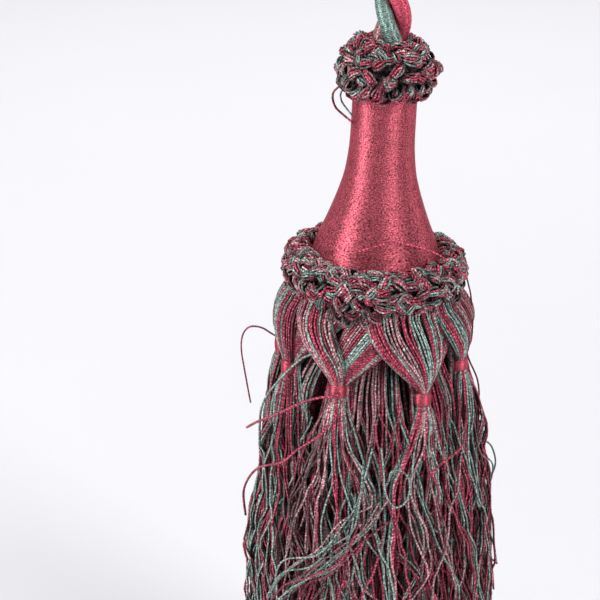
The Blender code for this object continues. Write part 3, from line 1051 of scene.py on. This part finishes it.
    def clumps(
        self, count: int, low: float, high: float, rims: tuple[float, float], most: int = 6
    ) -> list[Fall]:
        """Falls of yarns that lie side by side from low to high, some of them together.

        Args:
            count: How many yarns.
            low: Azimuth of the first one's end.
            high: Azimuth of the last one's end.
            rims: Least and greatest radius of the ends.
            most: Most yarns in a clump.

        Returns:
            One fall a yarn.
        """
        rng = self.rng
        made: list[Fall] = []
        while len(made) < count:
            size = int(rng.integers(1, most + 1))
            middle = (len(made) + size / 2) / count
            step = (high - low) / count
            shared = Fall(
                azimuth=low + (high - low) * middle + rng.normal(0.0, 2.5),
                rim=math.sqrt(rng.uniform(rims[0] ** 2, rims[1] ** 2)),
                foot=self.end + rng.normal(0.0, self.end_uneven * 0.6),
                wave=rng.gamma(2.4, 0.85),
                turns=rng.uniform(7.0, 19.0),
                phase=rng.uniform(0.0, 2 * math.pi),
                number=rng.uniform(0.0, 900.0),
                lit=rng.uniform(0.7, 1.35),
            )
            for k in range(size):
                made.append(
                    replace(
                        shared,
                        azimuth=shared.azimuth + (k - size / 2) * step * 0.7 + rng.normal(0.0, 0.7),
                        rim=shared.rim + rng.normal(0.0, 0.7),
                        foot=shared.foot + rng.normal(0.0, self.end_uneven * 0.7),
                        phase=shared.phase + rng.normal(0.0, 0.35),
                        number=shared.number + rng.normal(0.0, 0.22),
                    )
                )
        return made[:count]

    def hang(self, start: Row, fall: Fall) -> list[Row]:
        """Knots of a yarn's free stretch, from where it leaves its binding to its cut end.

        Args:
            start: Where it starts.
            fall: How its clump hangs.

        Returns:
            The knots, without the start.
        """
        azimuth, radius, height = start
        rows: list[Row] = []
        for drop, swing, reach in self.falls:
            out = radius + (fall.rim - radius) * reach
            out += 0.6 * fall.wave * swing * math.sin(1.3 * fall.phase + fall.turns * drop)
            sideways = 1.6 * fall.wave * swing * math.sin(fall.phase + fall.turns * drop)
            turn = azimuth + (fall.azimuth - azimuth) * swing + math.degrees(sideways / out)
            rows.append((turn, out, height + (fall.foot - height) * drop))
        return rows

    def place(self, rows: Sequence[Row], count: int) -> np.ndarray:
        """Smooth line of count points in metres through the rows."""
        knots = np.asarray(rows, float)
        return smooth_path(at(knots[:, 0], knots[:, 1], knots[:, 2]), count)

    def slack_of(self, line: np.ndarray, top: float, full: float) -> np.ndarray:
        """How freely each point of a line sways: none above top, all below full."""
        height = line[:, 2] / MM - RUFF_LEVEL
        return np.clip((top - height) / (top - full), 0.0, 1.0) ** 1.3

    def fan_row(self, index: int, section: Sequence[float], turn: float, share: float) -> Row:
        """Point of a hank's fan at one section.

        Args:
            index: Which hank.
            section: The section's row.
            turn: Radians round the section; a quarter turn is its outermost point.
            share: How far out from the section's middle.

        Returns:
            The point.
        """
        neck = self.neighbours(index)[1]
        left, right = self.fans[index]
        height, radius, spread, lean, half_width, half_depth = section
        width = half_width + (math.radians(right - left) * radius / 2 - 0.3) * spread
        middle = neck + ((left + right) / 2 - neck) * lean
        swing = math.degrees(width * math.cos(turn) * share / radius)
        return middle + swing, radius + half_depth * math.sin(turn) * share, self.level(index, height)

    def hang_in(
        self, strands: Strands, rows: list[Row], fall: Fall, tone: float, top: float, lit: float = 1.0
    ) -> None:
        """Finish a yarn from the rows it has so far to its cut end, and add it.

        Args:
            strands: The piece's strands.
            rows: Its rows so far.
            fall: How its clump hangs.
            tone: Its tone.
            top: Height below which it is free.
            lit: How light it is; less for yarn deep inside, as painted shade.
        """
        line = self.place([*rows, *self.hang(rows[-1], fall)], 52)
        radius = self.yarn_radius * self.rng.uniform(0.78, 1.08)
        shade = lit * fall.lit * self.rng.uniform(0.68, 1.24)
        strands.lay_in(line, radius, tone, shade, self.slack_of(line, top, top - self.freed), fall.number)

    def hank(self, index: int) -> None:
        """Make one hank: its fan of yarns, drawn through the neck and hung below it.

        Args:
            index: Which hank.
        """
        rng = self.rng
        before, neck, after = self.neighbours(index)
        low, high = (before + neck) / 2, (neck + after) / 2
        free = self.necks[index][1] - 4.0
        strands = Strands()
        left, right = self.fans[index]
        count = max(self.fan_least, round((right - left) * self.fan_density))
        falls = self.clumps(count, low - 3.0, high + 3.0, self.fan_rims)
        turns = even_turns(count, 205.0, -25.0, self.fan_flat)
        for tone, fall, turn in zip(self.tones(count, 2, self.fan_tones), falls, turns):
            rows = [
                self.fan_row(index, section, turn + rng.uniform(-0.05, 0.05), rng.uniform(0.95, 1.03))
                for section in self.sections
            ]
            self.hang_in(strands, rows, fall, tone, free)
        falls = self.clumps(self.fill_yarns, low, high, self.fill_rims)
        for k, (tone, fall) in enumerate(zip(self.tones(self.fill_yarns), falls)):
            share = rng.uniform(0.3, 0.9)
            turn = rng.uniform(0.0, 2 * math.pi)
            sections = self.sections[-3:]
            if k % 2:
                share = 0.82
                turn = math.radians(195.0 - 210.0 * (k + 0.5) / self.fill_yarns)
                sections = self.sections
            rows = [self.fan_row(index, section, turn, share) for section in sections]
            # the fill yarns lie deeper and get painted shade
            self.hang_in(strands, rows, fall, tone, free, rng.uniform(0.35, 0.8))
        # thick filler strands behind the fan, painted dark as shade inside it
        for share in (-0.72, -0.36, 0.0, 0.36, 0.72):
            turn = 0.0 if share >= 0 else math.pi
            rows = [self.fan_row(index, section, turn, abs(share)) for section in self.sections[:-1]]
            line = self.place(rows, 14)
            thick = np.interp(np.arange(14), (0, 4, 9, 13), (1.2, 2.4, 1.7, 1.2))
            strands.lay_in(line, thick, Tone.CRIMSON.value, 0.22)
        tube = Tube(3.6, 5, sway=9.0, sway_length=24.0, crinkle=3.4, crinkle_length=10.0, seed=index + 1)
        node = f"hank_{index + 1}"
        self.fit(strands, node + "_yarns", tube, self.shop.yarn, "hank_yarn", node)

    def under_row(self, index: int, section: Sequence[float], turn: float, share: float) -> Row:
        """Point of a crossing hank at one section.

        Args:
            index: The hank whose neck it runs down to.
            section: The section's row.
            turn: Radians round the section; a quarter turn is its outermost point.
            share: How far to the side from the section's middle.

        Returns:
            The point.
        """
        _, neck, after = self.neighbours(index)
        height, radius, way, half_width, half_depth = section
        azimuth = neck + (after - neck) * way + math.degrees(half_width * math.cos(turn) * share / radius)
        return azimuth, radius + half_depth * math.sin(turn), self.level(index, height)

    def under_hanks(self) -> None:
        """Make the hanks that cross behind the fans, their tails and the yarns between necks."""
        strands = Strands()
        for index in range(HANK_COUNT):
            _, neck, after = self.neighbours(index)
            falls = self.clumps(self.under_yarns, neck - 6.0, neck + 22.0, self.under_rims)
            turns = even_turns(self.under_yarns, 195.0, -15.0, self.fan_flat)
            for tone, fall, turn in zip(self.tones(self.under_yarns, 2, self.fan_tones), falls, turns):
                rows = [self.under_row(index, section, turn, 1.0) for section in self.under]
                self.hang_in(strands, rows, fall, tone, -42.0)
            # thick filler strands behind the crossing hank, painted dark as shade inside it
            for share in (-0.7, -0.23, 0.23, 0.7):
                rows = [self.under_row(index, section, 0.0, share) for section in self.under]
                strands.lay_in(self.place(rows, 12), 2.2, Tone.CRIMSON.value, 0.22)
            self.fringe(strands, neck, after)
        tube = Tube(4.0, 4, sway=9.0, sway_length=24.0, crinkle=3.4, crinkle_length=10.0, seed=31)
        self.fit(strands, "under_hank_yarns", tube, self.shop.yarn, "hank_yarn", "under_hanks")

    def fringe(self, strands: Strands, neck: float, after: float) -> None:
        """Add the yarns that come out below a crossing hank, between two necks.

        Args:
            strands: The piece's strands.
            neck: Azimuth of the neck on the left.
            after: Azimuth of the neck on the right.
        """
        rng = self.rng
        low, high = neck + 3.0, after - 3.0
        falls = self.clumps(self.fringe_yarns, low, high, self.fringe_rims, most=5)
        for tone, fall in zip(self.tones(self.fringe_yarns, 3), falls):
            start = fall.azimuth + rng.normal(0.0, 5.0)
            depth = rng.uniform(0.0, 2.4)
            rows = [
                (start + 4.0, 24.0, -17.0),
                (start + 2.0, 27.0 - depth, -27.0),
                (start, 31.4 - depth, -35.0),
                (start, 34.8 - depth, -43.0),
            ]
            # painted shade, darker for deeper yarns
            self.hang_in(strands, rows, fall, tone, -30.0, 1.02 - 0.14 * depth)

    def core(self) -> None:
        """Make the skirt's own yarns, which fill it from under the head to the rim."""
        rng = self.rng
        strands = Strands()
        for inner, outer, share in ((0.0, 0.35, 0.3), (0.35, 0.7, 0.3), (0.7, 1.0, 0.4)):
            count = int(self.core_yarns * share)
            rims = (8.0 + 27.0 * inner, 16.0 + 31.0 * outer)
            for tone, fall in zip(self.tones(count), self.clumps(count, -180.0, 180.0, rims)):
                depth = rng.uniform(inner, outer)
                start = 9.0 + 13.0 * depth
                shoulder = 12.0 + 19.5 * depth
                azimuth = fall.azimuth + rng.normal(0.0, 2.0)
                rows = [
                    (azimuth, start, -9.6),
                    (azimuth, start + 0.6, -22.0),
                    (azimuth, start + (shoulder - start) * 0.5, -35.0),
                    (azimuth, shoulder, -47.0),
                ]
                # painted shade, darker for yarn deeper inside
                self.hang_in(strands, rows, fall, tone, -34.0, 0.26 + 0.66 * depth**1.5)
        # thick rings under the head, painted dark as shade inside the skirt
        turns = np.linspace(0.0, 360.0, 40, endpoint=False)
        for radius, height, thick in ((8.0, -13.5, 4.5), (16.0, -13.8, 4.6), (21.0, -13.5, 4.0)):
            strands.lay_in(at(turns, radius, height), thick, Tone.CRIMSON.value, 0.2, ring=True)
        tube = Tube(4.6, 4, sway=9.0, sway_length=26.0, crinkle=3.4, crinkle_length=12.0, seed=77)
        self.fit(strands, "skirt_yarns", tube, self.shop.yarn, "skirt_yarn", "skirt")

    def loose_yarns(self) -> None:
        """Make the yarns that have slipped out of line and cross the others."""
        rng = self.rng
        strands = Strands()
        tones = self.tones(self.wanderers, 2)
        for k in range(self.wanderers):
            azimuth = 360.0 * (k + rng.uniform(0.0, 1.0)) / self.wanderers
            swing = rng.choice([-1.0, 1.0]) * rng.uniform(8.0, 30.0)
            top = rng.uniform(-70.0, -44.0)
            bulge = rng.uniform(0.5, 3.0)
            rows = [
                (azimuth, 34.5, top),
                (azimuth + 0.10 * swing, 37.5 + bulge, top - 12.0),
                (azimuth + 0.35 * swing, 41.5 + bulge, top - 28.0),
                (azimuth + 0.70 * swing, 44.5 + bulge, top - 46.0),
                (azimuth + 0.95 * swing, 46.5 + bulge * 0.6, top - 66.0),
                (azimuth + 1.00 * swing, 47.5 + bulge * 0.3, self.end + rng.uniform(-8.0, 14.0)),
            ]
            line = self.place(rows, 44)
            strands.lay_in(line, self.yarn_radius * 0.92, tones[k], rng.uniform(0.9, 1.25), 1.0, k * 1.7)
        tube = Tube(3.0, 5, sway=7.0, sway_length=20.0, crinkle=3.8, crinkle_length=9.0, seed=7)
        self.fit(strands, "loose_yarns", tube, self.shop.yarn, "skirt_yarn")

    def bindings(self) -> None:
        """Make the satin whipping round each neck."""
        drop, radius = smooth_path(np.array(self.binding), 18).T
        for i, (azimuth, height) in enumerate(self.necks, 1):
            strands = Strands()
            strands.lay_in(at(azimuth, self.neck_radius, height - drop), radius, Tone.CRIMSON.value)
            name, finish = f"binding_{i}_turns", self.shop.whipping
            self.fit(strands, name, Tube(0.3, 28), finish, "satin_thread", f"hank_binding_{i}")

    def build(self) -> None:
        """Make every piece below the lower ruff."""
        for index in range(HANK_COUNT):
            self.hank(index)
        self.under_hanks()
        self.core()
        self.loose_yarns()
        self.bindings()


@dataclass(frozen=True)
class Stray:
    """One stray thread: its tone, radius, (x, y, height above the lower ruff) knots and lightness."""

    tone: Tone
    radius: float
    knots: tuple[tuple[float, float, float], ...]
    lit: float = 1.1


@dataclass
class Strays(SubAssembly):
    """Threads and loops that stand clear of the rest."""

    threads: tuple[Stray, ...] = (
        # over the head's foot
        Stray(Tone.CRIMSON, 0.32, (
            (-6.5, -21.7, 13.9), (3.4, -22.0, 17.0), (11.7, -20.2, 15.8), (22.3, -17.0, 10.7),
            (32.9, -9.5, -0.3)
        ), lit=2.0),
        # bows out from the lower ruff to the neck on the right
        Stray(Tone.CRIMSON, 0.34, (
            (33.6, -3.0, -3.0), (34.6, -1.0, -7.0), (35.6, 0.0, -11.2), (36.5, 0.0, -19.2),
            (36.7, 0.0, -25.2), (36.2, 0.0, -30.4), (34.4, 0.0, -33.2)
        )),
        Stray(Tone.CRIMSON, 0.34, (
            (34.5, -1.0, -33.2), (36.0, 0.0, -38.0), (37.8, 0.0, -41.9), (39.2, 0.0, -45.5),
            (39.9, 0.0, -49.5), (40.0, 0.0, -53.0), (39.0, 0.0, -57.5), (37.5, 1.0, -63.0)
        )),
        # loops on the right of the skirt
        Stray(Tone.TEAL, 0.36, (
            (40.0, -5.0, -67.0), (42.0, -2.0, -69.7), (45.2, -1.0, -72.7), (47.2, 0.0, -78.9),
            (46.9, 1.0, -84.3), (44.8, 2.0, -88.4), (42.3, 0.0, -86.5), (41.0, -3.0, -80.0)
        )),
        Stray(Tone.TEAL, 0.34, (
            (40.8, -4.0, -77.4), (43.7, -3.0, -77.0), (46.1, -2.0, -80.5), (45.9, -1.0, -86.6),
            (44.6, 0.0, -92.0), (44.5, 0.0, -104.0)
        )),
        Stray(Tone.CRIMSON, 0.4, (
            (41.0, -6.0, -71.5), (43.5, -4.0, -76.0), (44.5, -3.0, -84.0), (45.5, -2.0, -92.0),
            (44.8, -1.0, -101.0), (45.8, 0.0, -112.0)
        )),
        Stray(Tone.TEAL, 0.36, (
            (43.5, 2.0, -97.0), (45.5, 1.0, -108.0), (48.0, 0.0, -116.5), (49.2, 0.0, -123.5)
        )),
        Stray(Tone.CRIMSON, 0.4, (
            (43.0, 0.0, -112.0), (45.5, 0.0, -121.0), (48.0, 0.0, -123.0), (49.6, 0.0, -124.5)
        )),
        Stray(Tone.CRIMSON, 0.38, (
            (44.0, -3.0, -105.0), (46.0, -2.0, -116.0), (47.6, 0.0, -126.0), (48.6, 0.0, -136.0)
        )),
        # round loop in front
        Stray(Tone.TEAL, 0.38, (
            (1.6, -41.0, -54.0), (2.6, -43.2, -62.6), (3.3, -44.6, -70.5), (6.5, -44.8, -76.0),
            (10.3, -44.2, -74.8), (12.0, -43.3, -70.5), (11.6, -42.9, -65.5), (8.7, -43.0, -62.2),
            (5.2, -43.2, -62.6), (4.6, -42.0, -67.0)
        )),
        # long tail of the third binding
        Stray(Tone.CRIMSON, 0.5, (
            (-12.8, -34.4, -36.0), (-15.6, -35.0, -36.6), (-20.0, -34.0, -37.4), (-26.4, -31.5, -40.4),
            (-35.5, -27.0, -47.1), (-43.0, -17.0, -55.0), (-47.4, -9.5, -61.0)
        )),
        Stray(Tone.CRIMSON, 0.48, (
            (-17.0, -38.5, -46.0), (-21.5, -39.0, -51.0), (-28.6, -36.0, -57.4), (-34.0, -33.0, -63.8),
            (-43.4, -24.0, -71.0), (-48.6, -14.5, -84.3), (-48.2, -11.4, -97.0)
        )),
        Stray(Tone.CRIMSON, 0.46, (
            (32.5, -28.0, -54.5), (31.0, -34.6, -57.0), (22.7, -40.8, -61.3), (18.4, -41.5, -66.8)
        )),
        # from beside the second neck, out to the left
        Stray(Tone.TEAL, 0.46, (
            (-21.0, -30.5, -21.5), (-25.8, -30.0, -23.3), (-30.6, -28.2, -28.2), (-38.2, -19.3, -41.3),
            (-42.0, -13.9, -52.0), (-42.6, -14.6, -66.0)
        )),
        # loop that stands out beside the first neck
        Stray(Tone.CRIMSON, 0.34, (
            (-33.0, -9.0, -26.0), (-37.9, -7.0, -24.0), (-41.6, -6.0, -22.0), (-46.0, -5.0, -22.0),
            (-48.6, -5.0, -25.0), (-49.3, -5.0, -31.0), (-48.0, -6.0, -40.0), (-46.0, -7.0, -52.0)
        )),
        # loops at the top ruff
        Stray(Tone.CRIMSON, 0.42, (
            (-13.6, -4.0, 69.5), (-15.6, -3.0, 67.2), (-15.9, -2.0, 64.3), (-14.8, -2.0, 61.1),
            (-12.1, -2.5, 58.6), (-8.8, -7.0, 57.0)
        )),
        Stray(Tone.TEAL, 0.36, (
            (-12.6, -5.0, 68.5), (-13.2, -4.0, 66.5), (-12.8, -3.5, 64.0), (-11.5, -4.0, 62.0),
            (-8.9, -7.6, 59.6)
        )),
        Stray(Tone.MARLED, 0.4, (
            (15.6, -6.0, 75.6), (18.1, -5.0, 78.4), (21.1, -4.0, 78.4), (22.6, -4.0, 76.4),
            (22.3, -4.0, 74.6), (19.0, -5.0, 75.0), (16.0, -6.0, 75.6)
        )),
    )

    sweep: tuple[tuple[float, float, float], ...] = (  # yarns brushed aside together at the front left
        (1.0, -41.0, -64.0),
        (-1.0, -43.8, -78.0),
        (-8.0, -45.6, -90.0),
        (-18.0, -44.8, -100.0),
        (-28.5, -40.2, -110.0),
        (-35.0, -34.5, -122.0),
    )
    sweep_yarns: int = 11
    seed: int = 12

    def build(self) -> None:
        """Make the stray threads."""
        strands = Strands()
        rng = np.random.default_rng(self.seed)
        for k in range(self.sweep_yarns):
            shift = np.array([rng.uniform(-7.0, 6.0), -0.3 * (k % 3), rng.uniform(-9.0, 7.0)])
            knots = np.array(self.sweep)[k % 2 :] + shift
            line = smooth_path(knots + rng.normal(0.0, 1.7, knots.shape), 40)
            line[:, 2] += RUFF_LEVEL
            tone = (Tone.TEAL, Tone.MARLED, Tone.TEAL, Tone.CRIMSON)[k % 4]
            strands.lay_in(line * MM, 0.4, tone.value, rng.uniform(0.8, 1.15))
        for stray in self.threads:
            line = smooth_path(np.array(stray.knots), 40)
            line[:, 2] += RUFF_LEVEL
            strands.lay_in(line * MM, stray.radius, stray.tone.value, stray.lit)
        self.fit(strands, "stray_threads", Tube(1.2, 6), self.shop.yarn, "skirt_yarn")


@dataclass(frozen=True)
class SoftBox:
    """Rectangular studio lamp that faces the tassel. Angles are degrees, lengths metres."""

    name: str
    azimuth: float
    elevation: float
    distance: float
    width: float
    height: float
    watts: float


@dataclass
class Studio:
    """Pale floor, tall soft boxes and a lamp over the floor behind, and the camera."""

    target: tuple[float, float, float] = (-0.0275, 0.0, -0.2012)
    elevation: float = 22.0
    distance: float = 0.743
    field_of_view: float = 17.0
    floor_level: float = -0.42
    world_strength: float = 0.12
    boxes: tuple[SoftBox, ...] = (
        SoftBox("left_box", -68.0, 28.0, 1.3, 0.5, 1.0, 16.0),
        SoftBox("right_box", 43.0, 28.0, 1.3, 0.35, 1.0, 10.0),
        SoftBox("far_right_box", 108.0, 15.0, 1.4, 0.6, 1.0, 2.5),
        SoftBox("top_fill", 0.0, 68.0, 1.5, 0.9, 0.9, 1.5),
    )
    floor_lamp_place: tuple[float, float, float] = (0.05, 1.32, 0.6)
    floor_lamp_size: tuple[float, float] = (2.4, 1.6)
    floor_lamp_watts: float = 17.6
    floor_half: float = 8.0  # half the floor's side

    def outward(self, azimuth: float, elevation: float) -> Vector:
        """Direction from the tassel to a lamp or the camera."""
        turn, rise = math.radians(azimuth), math.radians(elevation)
        return Vector((math.sin(turn) * math.cos(rise), -math.cos(turn) * math.cos(rise), math.sin(rise)))

    def lamp(self, name: str, place: Vector, toward: Vector, size: tuple[float, float], watts: float) -> None:
        """Add one rectangular lamp.

        Args:
            name: Its name.
            place: Its place.
            toward: Direction from what it lights back to it.
            size: Its width and height.
            watts: Its power.
        """
        data = bpy.data.lights.new(name, "AREA")
        data.shape = "RECTANGLE"
        data.size, data.size_y = size
        data.energy = watts
        made = bpy.data.objects.new(name, data)
        made.location = place
        made.rotation_euler = toward.to_track_quat("Z", "Y").to_euler()
        bpy.context.scene.collection.objects.link(made)

    def build(self) -> None:
        """Make the floor, the lamps, the world and the camera."""
        scene = bpy.context.scene
        scene.view_settings.view_transform = "Standard"
        aim = Vector(self.target)
        for box in self.boxes:
            away = self.outward(box.azimuth, box.elevation)
            self.lamp(box.name, aim + away * box.distance, away, (box.width, box.height), box.watts)
        up = Vector((0.0, 0.0, 1.0))
        place = Vector(self.floor_lamp_place)
        self.lamp("floor_lamp", place, up, self.floor_lamp_size, self.floor_lamp_watts)
        world = bpy.data.worlds.new("soft_white_room")
        world.use_nodes = True
        sky = world.node_tree.nodes["Background"]
        wire(world.node_tree, sky, {"Color": linear("#FBFAFF"), "Strength": self.world_strength})
        scene.world = world
        mesh = bpy.data.meshes.new("floor")
        half = self.floor_half
        corners = [(x * half, y * half, self.floor_level) for x, y in ((-1, -1), (1, -1), (1, 1), (-1, 1))]
        mesh.from_pydata(corners, [], [(0, 1, 2, 3)])
        mesh.materials.append(PaleFloor().material())
        floor = bpy.data.objects.new("floor", mesh)
        scene.collection.objects.link(floor)
        data = bpy.data.cameras.new("camera")
        data.angle = math.radians(self.field_of_view)
        data.clip_start = 0.02
        camera = bpy.data.objects.new("camera", data)
        camera.location = aim + self.outward(0.0, self.elevation) * self.distance
        camera.rotation_euler = (math.radians(90.0 - self.elevation), 0.0, 0.0)
        scene.collection.objects.link(camera)
        scene.camera = camera


def top_ruff(shop: Workshop) -> LoopRuff:
    """Pompom of loops round the foot of the rope.

    Args:
        shop: The workshop.

    Returns:
        The ruff, not yet built.
    """
    return LoopRuff(
        shop,
        name="top_ruff_loops",
        node="top_ruff",
        level=76.0,
        radius=10.5,
        core=3.4,
        flat=2.1,
        taper=1.3,
        yarn_radius=0.42,
        seed=3,
        tiers=(
            Tier(-76.0, 17, 2.2, 3.2, 15.0, 1.1, 4),
            Tier(-54.0, 20, 2.3, 3.2, 35.0, 1.1, 4),
            Tier(-32.0, 23, 2.4, 3.3, -35.0, 1.2, 4),
            Tier(-10.0, 24, 2.4, 3.3, 30.0, 1.2, 4),
            Tier(12.0, 24, 2.4, 3.3, -30.0, 1.2, 4),
            Tier(34.0, 22, 2.3, 3.2, 30.0, 1.2, 4),
            Tier(56.0, 19, 2.2, 3.1, -20.0, 1.2, 4),
            Tier(80.0, 16, 2.0, 3.1, 10.0, 1.1, 4),
            Tier(108.0, 14, 1.9, 3.1, 0.0, 0.9),
            Tier(138.0, 11, 1.7, 2.8, 0.0, 0.8),
        ),
    )


def lower_ruff(shop: Workshop) -> LoopRuff:
    """Thick braid of loops round the head's foot.

    Args:
        shop: The workshop.

    Returns:
        The ruff, not yet built.
    """
    return LoopRuff(
        shop,
        name="lower_ruff_loops",
        node="lower_ruff",
        level=0.0,
        radius=27.7,
        core=3.5,
        flat=1.6,
        taper=0.0,
        yarn_radius=0.44,
        seed=9,
        tiers=(
            Tier(140.0, 38, 2.2, 1.8, 20.0, 1.0),
            Tier(113.0, 43, 2.3, 2.4, -35.0, 1.1, 4),
            Tier(87.0, 47, 2.4, 2.6, 38.0, 1.1, 4),
            Tier(61.0, 50, 2.4, 2.4, -40.0, 1.1, 4),
            Tier(35.0, 52, 2.5, 2.5, 36.0, 1.1, 4),
            Tier(9.0, 53, 2.5, 2.5, -34.0, 1.1, 4),
            Tier(-17.0, 53, 2.5, 2.6, 36.0, 1.1, 4),
            Tier(-43.0, 50, 2.5, 2.6, -30.0, 1.2, 4),
            Tier(-70.0, 45, 2.3, 3.0, 10.0, 1.3),
            Tier(-64.0, 9, 2.3, 4.2, 0.0, 1.2, 4, (-38.0, 2.0)),
            Tier(-76.0, 8, 2.2, 6.2, 0.0, 1.2, 4, (-33.0, -3.0)),
        ),
    )


def main() -> None:
    """Build the studio and every piece of the tassel, in order."""
    logging.basicConfig(level=logging.INFO, format="%(name)s %(message)s")
    Studio().build()
    # The head: fine sparkle in level turns, from bumps and painted glints, and tall bright streaks where a
    # lamp stands.
    satin = WoundThread("crimson_satin_winding", "#C25D6B", "#86AFA3", 0.45, 0.6, 15.0, 0.38, 0.95)
    # The bindings: the same sheen, smoother, on a small round.
    whipping = WoundThread("satin_whipping", "#C6586A", "#86AFA3", 0.45, 0.5, 3.3, uneven=0.4)
    # The rope: plump plies in clear tones, softly glossy, one of them mottled in both dyes.
    plies = WoundThread("wound_rope_ply", "#D85A70", "#86A29A", 0.6, 0.9, 2.9, metallic=0.4)
    yarn = PliedYarn()
    shop = Workshop(
        strand_tree(), yarn.material(), satin.material(), whipping.material(), plies.material()
    )
    for part in (Rope(shop), Head(shop), top_ruff(shop), lower_ruff(shop), Skirt(shop), Strays(shop)):
        part.build()


if __name__ == "__main__":
    main()
